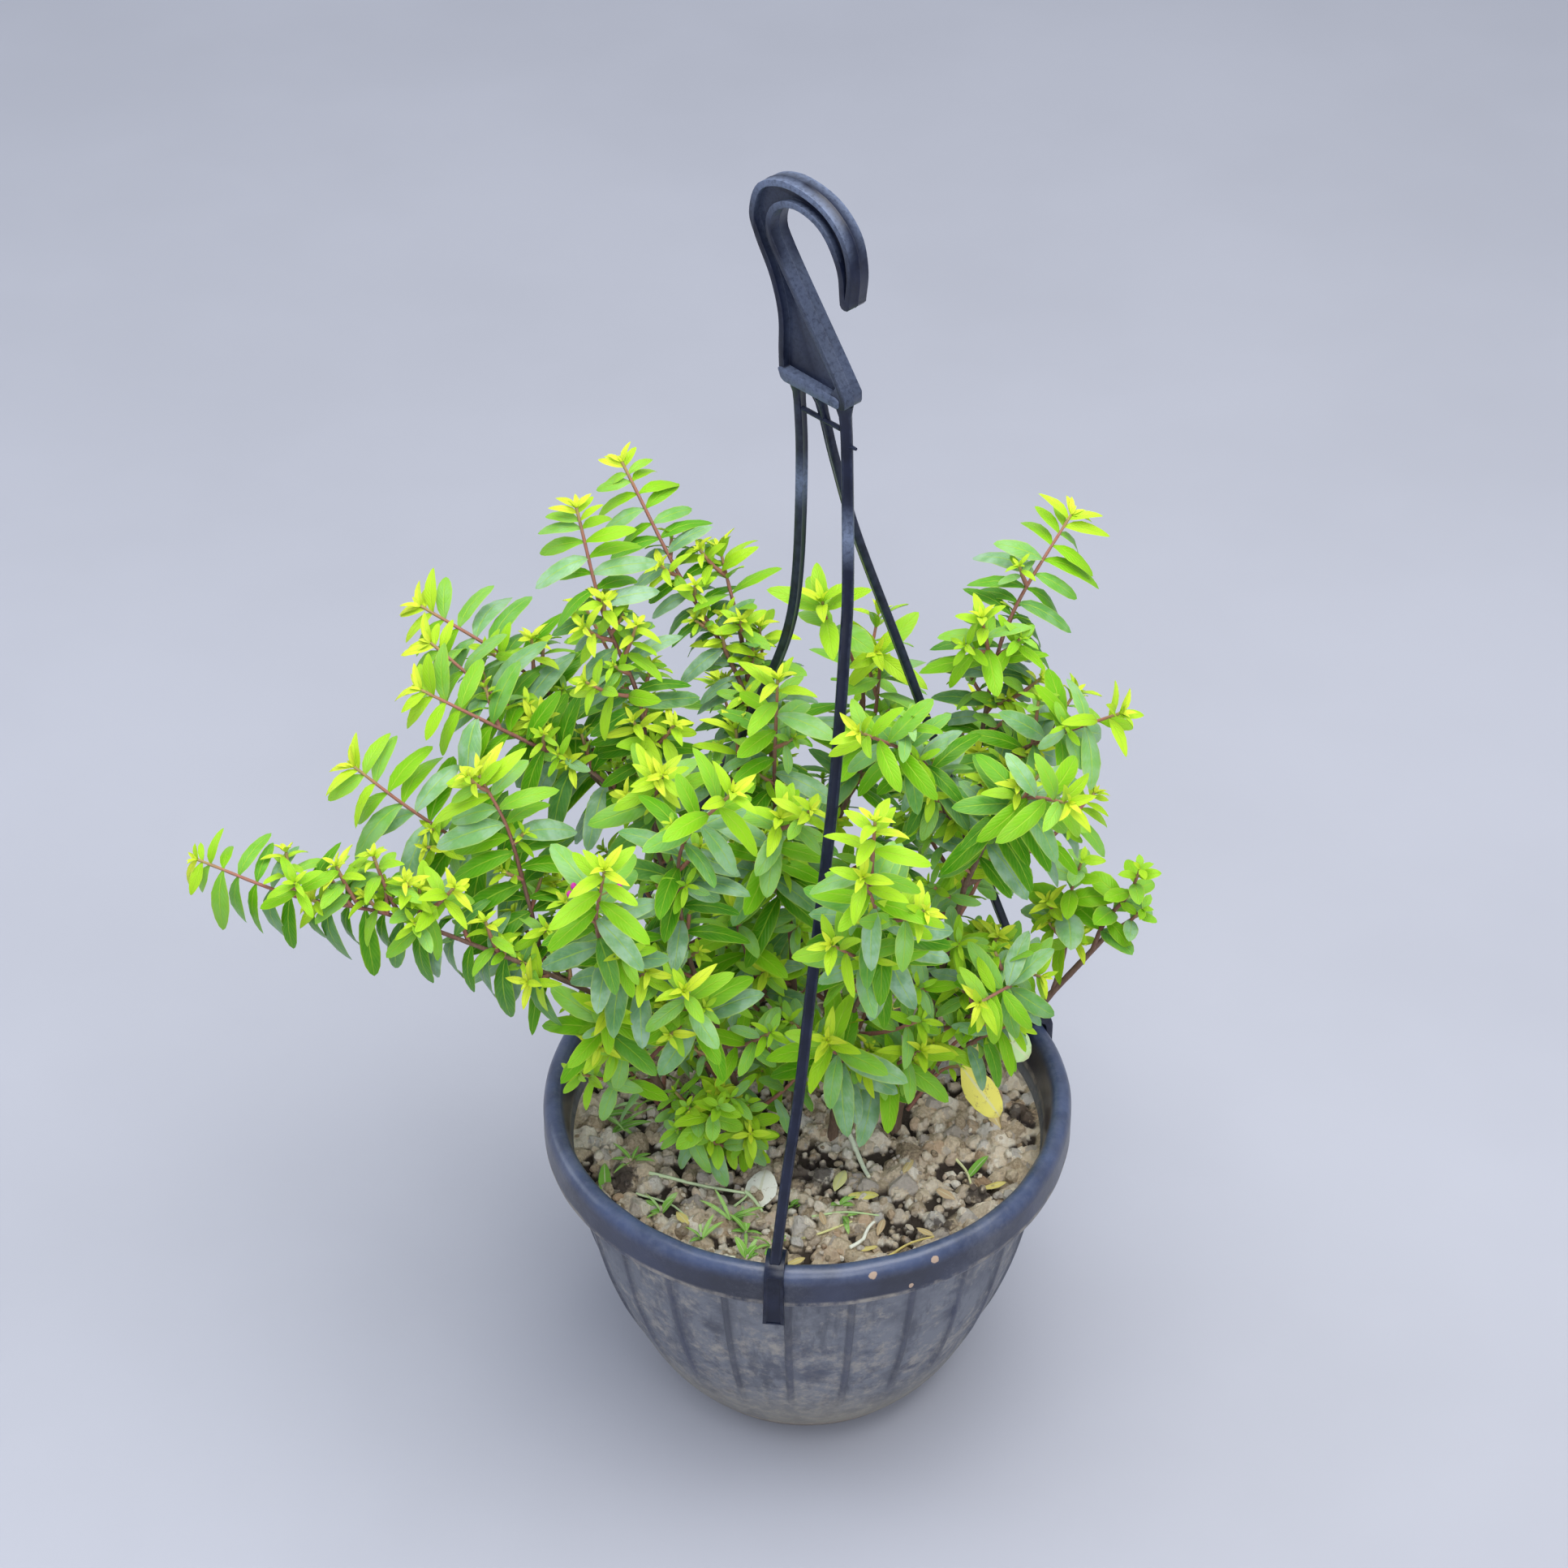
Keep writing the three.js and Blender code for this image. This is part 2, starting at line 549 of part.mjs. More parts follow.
// Soil: fills the bowl a little clear of its wall, with a lumpy top and a plain hole for each stem
function makeSoil() {
  const flats = Math.cos(Math.PI / POT_SIDES);
  const profile = [
    [0, FLOOR_THICKNESS + GAP],
    [FLOOR_RADIUS - 1, FLOOR_THICKNESS + GAP],
    ...bowlInside(WALL_THICKNESS).map(([radius, height]) => [radius * flats - GAP - 0.1, height]),
    [SOIL_EDGE_RADIUS * flats - GAP, SOIL_TOP - 1],
    ...SOIL_RINGS.map((radius) => [radius, SOIL_TOP]),
    [0, SOIL_TOP],
  ];
  const geometry = turned(profile, SOIL_SIDES);
  const position = geometry.attributes.position;
  for (let i = 0; i < position.count; i += 1) {
    const x = position.getX(i);
    const y = position.getY(i);
    if (position.getZ(i) > SOIL_TOP - 0.5 && Math.hypot(x, y) > 1) {
      const lump = Math.sin(0.13 * x + 0.4) * Math.cos(0.11 * y - 0.7) + 0.6 * Math.sin(0.27 * x - 0.23 * y);
      position.setZ(i, SOIL_TOP + SOIL_LUMP * lump);
    }
  }
  let soil = solid(geometry);
  STEMS.forEach((stem) => {
    const [x, y] = stem.wood[0];
    const hole = new THREE.CylinderGeometry(HOLE_RADIUS, HOLE_RADIUS, HOLE_DEPTH, HOLE_SIDES);
    hole.rotateX(Math.PI / 2);
    hole.translate(x, y, STEM_FOOT - GAP + HOLE_DEPTH / 2);
    soil = soil.subtract(solid(hole));
  });
  return geometryOf(soil);
}

// Points along a smooth curve through a few, both ends included
function smooth(points, steps) {
  const curve = new THREE.SplineCurve(points.map(([across, up]) => new THREE.Vector2(across, up)));
  return curve.getPoints(steps).map((point) => [point.x, point.y]);
}

// Hook: its edges in its own plane, as [along, up] from the hub
const HOOK_BACK = [[-11.1, 11], [-11.3, 24], [-15.1, 36.7], [-22, 49], [-24.7, 57.5], [-20.4, 69], [-7.7, 74.2],
  [8.2, 71.9], [18.6, 63.4], [22.1, 51.5], [21.2, 39.5]];
const HOOK_THROAT = [[16.9, 40.5], [15.2, 52], [7.8, 62.5], [-3.3, 65.8], [-12.3, 62], [-14.8, 54], [-11, 46.8]];

function makeHook() {
  const outline = [
    [-10.3, 4], [-8, 0], [18, 0], [20, 1.5], [20, 5],
    ...smooth(HOOK_THROAT, 11).reverse(),
    [17.8, 38.5], [20, 38],
    ...smooth(HOOK_BACK, 17).reverse(),
  ];
  const pocket = inset(outline, HOOK_FLANGE);
  const depth = (HOOK_WIDTH - HOOK_WEB) / 2;
  let hook = solid(upright(outline, HOOK_WIDTH, 0));
  for (const side of [-1, 1]) {
    const cut = upright(pocket, depth + 1, 0);
    cut.translate(0, side * (HOOK_WIDTH / 2 + 0.5 - depth / 2), 0);
    hook = hook.subtract(solid(cut));
  }
  const geometry = geometryOf(hook);
  geometry.rotateZ(HOOK_PLANE);
  geometry.translate(0, 0, HUB_HEIGHT);
  return geometry;
}

// Straps: each bows from the foot of the hook down to its clip on the rim, which stands at an angle about the pot
const STRAPS = [
  { name: "hanger_strap_front", azimuth: -96.6,
    path: [[11.3, -11.3, 442.5], [12.2, -13, 425], [12.9, -22.5, 379], [12, -29.5, 357], [8.5, -47, 308],
      [1.4, -72, 244], [-2.7, -83, 204], [-7, -91, 172], [-11.2, -97, 134]] },
  { name: "hanger_strap_right", azimuth: 24.8,
    path: [[2.8, -3.9, 442.2], [5.2, -2.6, 430], [8.6, -0.8, 413], [16.1, 3.1, 381], [32.1, 11.4, 327],
      [41.7, 16.4, 294], [65, 28.3, 215], [84.5, 38.6, 150], [88, 40.7, 134]] },
  { name: "hanger_strap_back", azimuth: 143,
    path: [[-3.9, 4, 442.6], [-2.8, 5, 412], [-4, 9, 363], [-7.7, 13, 333], [-17, 21.5, 300], [-34, 35.5, 250],
      [-55, 48, 200], [-71, 55.5, 158], [-77.5, 58.4, 134]] },
];

// A clip bridges the rim and hangs down outside it as a shallow channel, drawn as [outward, height]
function makeClip() {
  const top = RIM_TOP + GAP;
  const outer = RIM_RADIUS + GAP;
  const inner = RIM_CREST_RADIUS - 6.8;
  const outline = [
    [inner, RIM_TOP - 9],
    [inner + 1.8, RIM_TOP - 9],
    [RIM_CREST_RADIUS - 3.8, top - 3.4],
    [RIM_CREST_RADIUS - 0.9, top],
    [RIM_CREST_RADIUS + 2.8, top],
    [outer, top - 3.4],
    [outer, CLIP_BOTTOM],
    [outer + CLIP_THICKNESS, CLIP_BOTTOM],
    [outer + CLIP_THICKNESS, RIM_TOP - 1],
    [outer, RIM_TOP + 3],
    [RIM_CREST_RADIUS + 2, RIM_TOP + 4.5],
    [RIM_CREST_RADIUS - 4, RIM_TOP + 4],
    [inner, RIM_TOP],
  ];
  const channel = new THREE.BoxGeometry(2, CLIP_WIDTH - 3, RIM_TOP - 4 - CLIP_BOTTOM);
  channel.translate(outer + CLIP_THICKNESS, 0, (RIM_TOP - 2 + CLIP_BOTTOM) / 2);
  return solid(upright(outline, CLIP_WIDTH, 0)).subtract(solid(channel));
}

// The thin bar that joins the straps below the hook grows from the middle one, just clear of the other two
function makeCrossbar() {
  const bar = new THREE.BoxGeometry(CROSSBAR_ENDS[1] - CROSSBAR_ENDS[0], CROSSBAR_SIZE, CROSSBAR_SIZE);
  bar.translate((CROSSBAR_ENDS[0] + CROSSBAR_ENDS[1]) / 2, 0, HUB_HEIGHT - CROSSBAR_DROP);
  bar.rotateZ(HOOK_PLANE);
  return solid(bar);
}

function makeStrap(strap) {
  const half = STRAP_WIDTH / 2;
  const deep = STRAP_THICKNESS / 2;
  const turn = THREE.MathUtils.degToRad(strap.azimuth);
  const section = new THREE.Shape([[-deep, -half], [deep, -half], [deep, half], [-deep, half]]
    .map(([across, up]) => new THREE.Vector2(across, up)));
  const points = strap.path.map((point) => vector(point).applyAxisAngle(new THREE.Vector3(0, 0, 1), -turn));
  const curve = new THREE.CatmullRomCurve3(points, false, "catmullrom", 0.5);
  const band = new THREE.ExtrudeGeometry(section, { steps: STRAP_STEPS, extrudePath: curve });
  let body = solid(band).add(makeClip()).rotate([0, 0, strap.azimuth]);
  if (strap.name === "hanger_strap_right") {
    body = body.add(makeCrossbar());
  }
  return geometryOf(body);
}

const model = new THREE.Group();

function place(name, geometry, surface) {
  const mesh = new THREE.Mesh(geometry, surface);
  mesh.name = name;
  model.add(mesh);
}

STRAPS.forEach((strap) => {
  const geometry = makeStrap(strap);
  const position = geometry.attributes.position;
  const points = [];
  for (let i = 0; i < position.count; i += 1) {
    points.push(new THREE.Vector3(position.getX(i), position.getY(i), position.getZ(i)));
  }
  take(points.filter((point) => point.z > SOIL_TOP), 0.5, strap.name);
  take(spaced(strap.path, 4), STRAP_WIDTH / 2 + 0.6, strap.name);
  place(strap.name, geometry, HANGER_PLASTIC);
});
place("hanger_hook", makeHook(), HANGER_PLASTIC);
place("pot", makePot(), BLACK_PLASTIC);
place("soil", makeSoil(), SOIL);
makeStems().forEach(({ name, geometry }) => place(name, geometry, LEAF));

export default model;
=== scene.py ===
"""Potted false heather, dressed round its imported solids.

The pot, the soil, the clip-on hanger and ten leafy stems take the place of the plain solids, and litter lies on
the soil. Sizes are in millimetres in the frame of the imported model, and the meshes made of them are in metres.
"""

import logging
import math
from collections.abc import Callable, Iterable, Iterator, Sequence
from contextlib import contextmanager
from dataclasses import dataclass, field, replace
from enum import Enum

import bmesh
import bpy
import numpy as np
from bpy.types import Material, Node, NodeSocket, NodeTree, Object
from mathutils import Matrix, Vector
from mathutils import noise as cloud_noise
from mathutils.bvhtree import BVHTree


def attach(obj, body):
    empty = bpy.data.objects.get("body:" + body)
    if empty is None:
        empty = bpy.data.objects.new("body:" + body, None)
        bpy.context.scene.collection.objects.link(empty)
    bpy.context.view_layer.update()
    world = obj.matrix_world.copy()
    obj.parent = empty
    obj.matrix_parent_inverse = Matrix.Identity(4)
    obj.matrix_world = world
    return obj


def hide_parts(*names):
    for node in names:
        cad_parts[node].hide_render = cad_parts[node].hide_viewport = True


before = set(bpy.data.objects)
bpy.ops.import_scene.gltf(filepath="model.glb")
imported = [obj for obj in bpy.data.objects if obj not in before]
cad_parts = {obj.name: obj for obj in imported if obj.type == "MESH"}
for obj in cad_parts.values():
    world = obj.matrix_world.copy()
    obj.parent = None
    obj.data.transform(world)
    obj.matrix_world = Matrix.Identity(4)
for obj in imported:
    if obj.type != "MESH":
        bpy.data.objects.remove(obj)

LOG = logging.getLogger("potted_false_heather")
MM = 0.001
BODY = "root"
GOLDEN_ANGLE = 2.399963
UP = np.array((0.0, 0.0, 1.0))
FRONT = np.array((0.0, -0.8, 0.6))
SHARP_TURN = 0.5

Array = np.ndarray
Faces = list[tuple[int, ...]]
Point = tuple[float, float, float]
Colour = tuple[float, float, float]
Outline = list[tuple[float, float]]
Spots = tuple[tuple[Point, float], ...]


# Shared shaping tools


def noise(number: float) -> float:
    """Repeatable noise from 0 to 1 for a number, the same as in the part's source."""
    value = math.sin(number * 12.9898) * 43758.5453
    return value - math.floor(value)


def unit(vector: Array) -> Array:
    """The vector at unit length."""
    return vector / max(float(np.linalg.norm(vector)), 1e-12)


def square_to(vector: Array, direction: Array) -> Array:
    """What is left of a vector square to a unit direction, at unit length."""
    return unit(vector - direction * float(vector @ direction))


def smooth_line(path: Sequence[Sequence[float]], step: float) -> Array:
    """Runs a smooth line through a few points.

    Args:
        path: The points, with two or three coordinates each.
        step: How far apart the returned points lie.

    Returns:
        Evenly spaced points, both ends included.
    """
    knots = np.array(path, float)
    ends = np.vstack([2 * knots[0] - knots[1], knots, 2 * knots[-1] - knots[-2]])
    share = np.linspace(0, 1, 25)[:, None]
    fine = [knots[:1]]
    for a, b, c, d in zip(ends, ends[1:], ends[2:], ends[3:]):
        bend = 2 * a - 5 * b + 4 * c - d + share * (3 * (b - c) + d - a)
        fine.append((b + 0.5 * share * (c - a + share * bend))[1:])
    line = np.vstack(fine)
    run = np.concatenate([[0], np.cumsum(np.linalg.norm(np.diff(line, axis=0), axis=1))])
    places = np.linspace(0, run[-1], max(1, round(run[-1] / step)) + 1)
    return np.column_stack([np.interp(places, run, line[:, k]) for k in range(line.shape[1])])


def headings(points: Array) -> Array:
    """Unit directions of a line of points at each of them."""
    ahead = np.gradient(points, axis=0)
    return ahead / np.linalg.norm(ahead, axis=1)[:, None]


def turned_about_axis(places: Array, angle: float) -> Array:
    """Places turned about the vertical axis."""
    cos, sin = math.cos(angle), math.sin(angle)
    return places @ np.array(((cos, sin, 0), (-sin, cos, 0), (0, 0, 1)))


def deselect_all() -> None:
    """Leaves edit mode and selects nothing."""
    if bpy.context.mode != "OBJECT":
        bpy.ops.object.mode_set(mode="OBJECT")
    bpy.ops.object.select_all(action="DESELECT")


def take_up(piece: Object) -> None:
    """Selects one piece alone and makes it active."""
    deselect_all()
    piece.select_set(True)
    bpy.context.view_layer.objects.active = piece


def modelled(name: str, primitive: Callable, **sizes: object) -> Object:
    """Adds a simple shape as the start of a piece.

    Args:
        name: The piece's name.
        primitive: The operator that adds the shape.
        sizes: The operator's own values.

    Returns:
        The piece, selected alone.
    """
    deselect_all()
    primitive(**sizes)
    piece = bpy.context.object
    piece.name = name
    return piece


@contextmanager
def editing(piece: Object) -> Iterator[None]:
    """Keeps a piece in edit mode for a while, at first with everything selected."""
    take_up(piece)
    bpy.ops.object.mode_set(mode="EDIT")
    bpy.ops.mesh.select_all(action="SELECT")
    yield
    bpy.ops.object.mode_set(mode="OBJECT")


def select_where(piece: Object, kind: str, wanted: Callable[[object], bool]) -> None:
    """Selects vertices or faces of a piece in edit mode by a test.

    Args:
        piece: The piece, in edit mode.
        kind: VERT or FACE.
        wanted: Says of a vertex or a face whether it is to be selected.
    """
    bpy.ops.mesh.select_mode(type=kind)
    bpy.ops.mesh.select_all(action="DESELECT")
    mesh = bmesh.from_edit_mesh(piece.data)
    for part in mesh.verts if kind == "VERT" else mesh.faces:
        if wanted(part):
            part.select_set(True)
    mesh.select_flush_mode()
    bmesh.update_edit_mesh(piece.data)


def apply_modifier(piece: Object, kind: str, **settings: object) -> None:
    """Adds a modifier to a piece and applies it.

    Args:
        piece: The piece.
        kind: The modifier's type.
        settings: The modifier's own values.
    """
    take_up(piece)
    modifier = piece.modifiers.new(kind.title(), kind)
    for name, value in settings.items():
        setattr(modifier, name, value)
    bpy.ops.object.modifier_apply(modifier=modifier.name)


def cut_out(piece: Object, cutter: Object) -> None:
    """Cuts a shape out of a piece and does away with the cutter."""
    apply_modifier(piece, "BOOLEAN", object=cutter, operation="DIFFERENCE", solver="EXACT")
    bpy.data.objects.remove(cutter)


def round_edges(piece: Object, width: float, segments: int, degrees: float) -> None:
    """Rounds the edges of a piece that are sharper than an angle."""
    apply_modifier(piece, "BEVEL", width=width * MM, segments=segments, limit_method="ANGLE",
                   angle_limit=math.radians(degrees), use_clamp_overlap=True)


def smooth_shade(piece: Object, degrees: float) -> None:
    """Shades a piece smooth, apart from edges sharper than an angle."""
    take_up(piece)
    bpy.ops.object.shade_smooth_by_angle(angle=math.radians(degrees))


def coords(piece: Object) -> Array:
    """The places of a piece's vertices, in millimetres."""
    flat = np.empty(len(piece.data.vertices) * 3, np.float64)
    piece.data.vertices.foreach_get("co", flat)
    return flat.reshape(-1, 3) / MM


def set_coords(piece: Object, places: Array) -> None:
    """Moves a piece's vertices to places in millimetres."""
    piece.data.vertices.foreach_set("co", (places * MM).ravel())
    piece.data.update()


def faces_of(piece: Object) -> Faces:
    """The corners of each face of a piece."""
    return [tuple(face.vertices) for face in piece.data.polygons]


def set_attribute(piece: Object, name: str, values: Array) -> None:
    """Keeps numbers for each vertex, for a material to read.

    Args:
        piece: The piece.
        name: The name that the material reads.
        values: One number for each vertex, or a vector of three.
    """
    kind, part = ("FLOAT", "value") if values.ndim == 1 else ("FLOAT_VECTOR", "vector")
    attribute = piece.data.attributes.get(name) or piece.data.attributes.new(name, kind, "POINT")
    attribute.data.foreach_set(part, values.astype(np.float32).ravel())


def mark_edges(piece: Object, where: Array | float = 1.0) -> None:
    """Keeps how sharply each vertex stands out, from 0 to 1, as the attribute "edge".

    Args:
        piece: The piece.
        where: A share to multiply it by, for all or for each vertex.
    """
    mesh = bmesh.new()
    mesh.from_mesh(piece.data)
    values = np.zeros(len(mesh.verts))
    for edge in mesh.edges:
        if len(edge.link_faces) == 2:
            turn = edge.calc_face_angle_signed(0)
            for vert in edge.verts:
                values[vert.index] = max(values[vert.index], min(1.0, turn / SHARP_TURN))
    mesh.free()
    set_attribute(piece, "edge", values * where)


def face_outward(piece: Object) -> None:
    """Turns every face of a closed piece outward."""
    with editing(piece):
        bpy.ops.mesh.normals_make_consistent(inside=False)


def slab(name: str, outline: Outline, thickness: float, middle: float = 0.0) -> Object:
    """Makes a closed plate in the XZ plane.

    Args:
        name: The new piece's name.
        outline: Its corners as (across, up), counterclockwise.
        thickness: Its thickness along Y.
        middle: Where its middle lies along Y.

    Returns:
        The plate.
    """
    circle = bpy.ops.mesh.primitive_circle_add
    piece = modelled(name, circle, vertices=len(outline), radius=1, fill_type="NGON")
    set_coords(piece, np.array([(across, 0, up) for across, up in outline]))
    face_outward(piece)
    if piece.data.polygons[0].normal.y > 0:
        piece.data.flip_normals()
    with editing(piece):
        bpy.ops.mesh.extrude_region_move(TRANSFORM_OT_translate={"value": (0, thickness * MM, 0)})
        bpy.ops.mesh.select_all(action="SELECT")
        bpy.ops.transform.translate(value=(0, (middle - thickness / 2) * MM, 0))
    face_outward(piece)
    return piece


def drawn_in(outline: Outline, distance: float) -> Outline:
    """Draws a closed outline in.

    Args:
        outline: The outline.
        distance: How far it is drawn in.

    Returns:
        The smaller outline, without the corners that would cross over.
    """
    points = np.array(outline, float)
    ahead = np.roll(points, -1, axis=0) - np.roll(points, 1, axis=0)
    inward = np.column_stack([-ahead[:, 1], ahead[:, 0]]) / np.linalg.norm(ahead, axis=1)[:, None]
    steps = np.roll(points, -1, axis=0) - points
    kept = []
    for point in points + distance * inward:
        share = np.clip(((point - points) * steps).sum(axis=1) / (steps ** 2).sum(axis=1), 0, 1)
        reach = np.linalg.norm(points + share[:, None] * steps - point, axis=1).min()
        if reach > 0.96 * distance:
            kept.append(tuple(point))
    return kept


def join(pieces: Sequence[Object], name: str) -> Object:
    """Joins pieces into the first one, names it and returns it."""
    take_up(pieces[0])
    for piece in pieces[1:]:
        piece.select_set(True)
    if len(pieces) > 1:
        bpy.ops.object.join()
    pieces[0].name = name
    pieces[0].data.name = name
    return pieces[0]


def swept(points: Array, section: Callable[[float], Array], side: Array) -> tuple[Array, Faces]:
    """Sweeps a closed section along a line of points.

    Args:
        points: The line, in millimetres.
        section: Gives the section's corners as (across, deep) at a share of the line, counterclockwise.
        side: The direction that "across" keeps to, as nearly as the line allows.

    Returns:
        The corners and the faces of a closed body.
    """
    ahead = headings(points)
    last = len(points) - 1
    rings = []
    for i, point in enumerate(points):
        across = square_to(side, ahead[i])
        deep = np.cross(ahead[i], across)
        shape = section(i / last)
        rings.append(point + shape[:, :1] * across + shape[:, 1:] * deep)
    sides = len(rings[0])
    faces = [
        (i * sides + k, i * sides + (k + 1) % sides, (i + 1) * sides + (k + 1) % sides, (i + 1) * sides + k)
        for i in range(last)
        for k in range(sides)
    ]
    faces.append(tuple(reversed(range(sides))))
    faces.append(tuple(last * sides + k for k in range(sides)))
    return np.vstack(rings), faces


def round_section(radius: Callable[[float], float], sides: int) -> Callable[[float], Array]:
    """A round section with a number of sides, whose radius changes along the line."""
    turns = np.arange(sides) * 2 * np.pi / sides
    ring = np.column_stack([np.cos(turns), np.sin(turns)])
    return lambda share: ring * radius(share)


def made(name: str, corners: Array, faces: Faces) -> Object:
    """Makes a new piece.

    Args:
        name: Its name.
        corners: Its corners, in millimetres.
        faces: Its faces, by the numbers of their corners.

    Returns:
        The piece.
    """
    mesh = bpy.data.meshes.new(name)
    mesh.from_pydata((corners * MM).tolist(), [], faces)
    mesh.update()
    piece = bpy.data.objects.new(name, mesh)
    bpy.context.scene.collection.objects.link(piece)
    return piece


@dataclass
class Gathering:
    """Many small closed shapes that become one piece, with the numbers that their materials read."""

    corners: list[Array] = field(default_factory=list)
    faces: Faces = field(default_factory=list)
    surfaces: list[int] = field(default_factory=list)
    places: list[Array] = field(default_factory=list)
    ages: list[Array] = field(default_factory=list)
    count: int = 0

    def add(self, corners: Array, faces: Faces, surface: int | list[int] = 0, place: Array | Point = (0, 0, 0),
            age: Array | float = 0.0) -> None:
        """Adds one shape.

        Args:
            corners: Its corners, in millimetres.
            faces: Its faces.
            surface: The number of the material of all its faces, or of each.
            place: Three numbers for all its corners or for each: where it lies along and across the shape, and
                a chance value.
            age: A number for all its corners or for each, 0 for the youngest growth and 1 for the oldest.
        """
        self.corners.append(corners)
        self.faces.extend(tuple(self.count + corner for corner in face) for face in faces)
        self.surfaces.extend([surface] * len(faces) if isinstance(surface, int) else surface)
        self.places.append(np.broadcast_to(place, corners.shape))
        self.ages.append(np.broadcast_to(age, len(corners)))
        self.count += len(corners)

    def piece(self, name: str, *materials: Material) -> Object:
        """Makes the one piece with its materials, and returns it."""
        whole = made(name, np.vstack(self.corners), self.faces)
        for material in materials:
            whole.data.materials.append(material)
        whole.data.polygons.foreach_set("material_index", self.surfaces)
        set_attribute(whole, "place", np.vstack(self.places))
        set_attribute(whole, "age", np.concatenate(self.ages))
        return whole


# Materials


@dataclass
class Value:
    """What a material works out at each place, added and multiplied as plain numbers are."""

    tree: "Tree"
    socket: NodeSocket

    def __add__(self, other: object) -> "Value":
        """The sum."""
        return self.tree.math("ADD", self, other)

    def __radd__(self, other: float) -> "Value":
        """The sum, with a plain number first."""
        return self.tree.math("ADD", other, self)

    def __sub__(self, other: object) -> "Value":
        """The difference."""
        return self.tree.math("SUBTRACT", self, other)

    def __rsub__(self, other: float) -> "Value":
        """The difference from a plain number."""
        return self.tree.math("SUBTRACT", other, self)

    def __mul__(self, other: object) -> "Value":
        """The product."""
        return self.tree.math("MULTIPLY", self, other)

    def __truediv__(self, other: object) -> "Value":
        """The quotient."""
        return self.tree.math("DIVIDE", self, other)

    def __abs__(self) -> "Value":
        """The value without its sign."""
        return self.tree.math("ABSOLUTE", self)

    def between(self, low: object, high: object, out: tuple[float, float] = (0, 1),
                smooth: bool = True) -> "Value":
        """Spreads the value from one range to another.

        Args:
            low: What becomes the start of the new range, and so does all beyond it.
            high: What becomes its end.
            out: The new range.
            smooth: Whether it eases in and out.

        Returns:
            The new value.
        """
        inputs = {"Value": self, "From Min": low, "From Max": high, "To Min": out[0], "To Max": out[1]}
        kind = "SMOOTHSTEP" if smooth else "LINEAR"
        return self.tree.value("ShaderNodeMapRange", "Result", inputs, interpolation_type=kind)


@dataclass
class Tree:
    """Adds and joins the nodes of one material or shared effect."""

    owner: NodeTree

    def put(self, socket: NodeSocket, value: object) -> None:
        """Joins a socket to a worked-out value, or gives it a plain one."""
        if isinstance(value, Value):
            self.owner.links.new(value.socket, socket)
        elif socket.type == "RGBA" and len(value) == 3:
            socket.default_value = (*value, 1.0)
        else:
            socket.default_value = value

    def add(self, kind: str, inputs: dict | None = None, **settings: object) -> Node:
        """Adds a node.

        Args:
            kind: Its type.
            inputs: What goes into its sockets, by name or number.
            settings: Its own settings.

        Returns:
            The node.
        """
        node = self.owner.nodes.new(kind)
        for name, value in settings.items():
            setattr(node, name, value)
        for name, value in (inputs or {}).items():
            self.put(node.inputs[name], value)
        return node

    def value(self, kind: str, output: int | str, inputs: dict | None = None, **settings: object) -> Value:
        """Adds a node as "add" does, and returns what one of its outputs gives."""
        return Value(self, self.add(kind, inputs, **settings).outputs[output])

    def math(self, operation: str, *values: object) -> Value:
        """One sum or other operation on numbers."""
        return self.value("ShaderNodeMath", 0, dict(enumerate(values)), operation=operation)

    def most(self, first: Value, second: Value) -> Value:
        """The greater of two values."""
        return self.math("MAXIMUM", first, second)

    def mix(self, share: object, first: object, second: object) -> Value:
        """A blend of two colours, by the share of the second."""
        return self.value("ShaderNodeMix", 2, {"Factor": share, 6: first, 7: second}, data_type="RGBA")

    def ramp(self, value: Value, *stops: tuple[float, Colour]) -> Value:
        """A colour that changes with a value, from stop to stop."""
        node = self.add("ShaderNodeValToRGB", {"Fac": value})
        while len(node.color_ramp.elements) < len(stops):
            node.color_ramp.elements.new(0.5)
        for element, (place, colour) in zip(node.color_ramp.elements, stops):
            element.position = place
            element.color = (*colour, 1)
        return Value(self, node.outputs["Color"])

    def noise(self, vector: Value, scale: object, detail: float = 3, roughness: float = 0.55) -> Value:
        """A cloudy pattern from 0 to 1."""
        inputs = {"Vector": vector, "Scale": scale, "Detail": detail, "Roughness": roughness}
        return self.value("ShaderNodeTexNoise", "Fac", inputs)

    def place(self, stretch: float = 1.0) -> Value:
        """The place in the object's frame, with the height times a share to stretch a pattern upwards."""
        place = self.value("ShaderNodeTexCoord", "Object")
        if stretch == 1.0:
            return place
        return self.value("ShaderNodeMapping", "Vector", {"Vector": place, "Scale": (1, 1, stretch)})

    def kept(self, name: str, output: str = "Fac") -> Value:
        """The number kept for each vertex under a name, or the three numbers where the output is "Vector"."""
        return self.value("ShaderNodeAttribute", output, attribute_name=name, attribute_type="GEOMETRY")

    def parts(self, vector: Value) -> list[Value]:
        """The three numbers of a vector."""
        node = self.add("ShaderNodeSeparateXYZ", {"Vector": vector})
        return [Value(self, output) for output in node.outputs]

    def effect(self, effect: NodeTree, **inputs: object) -> Value:
        """What a shared effect gives, for inputs of its own by name."""
        named = {name.replace("_", " ").title(): value for name, value in inputs.items()}
        return self.value("ShaderNodeGroup", 0, named, node_tree=effect)

    def bump(self, height: Value, distance: float, strength: float) -> Value:
        """A normal that follows a height."""
        entries = {"Height": height, "Distance": distance, "Strength": strength}
        return self.value("ShaderNodeBump", "Normal", entries)


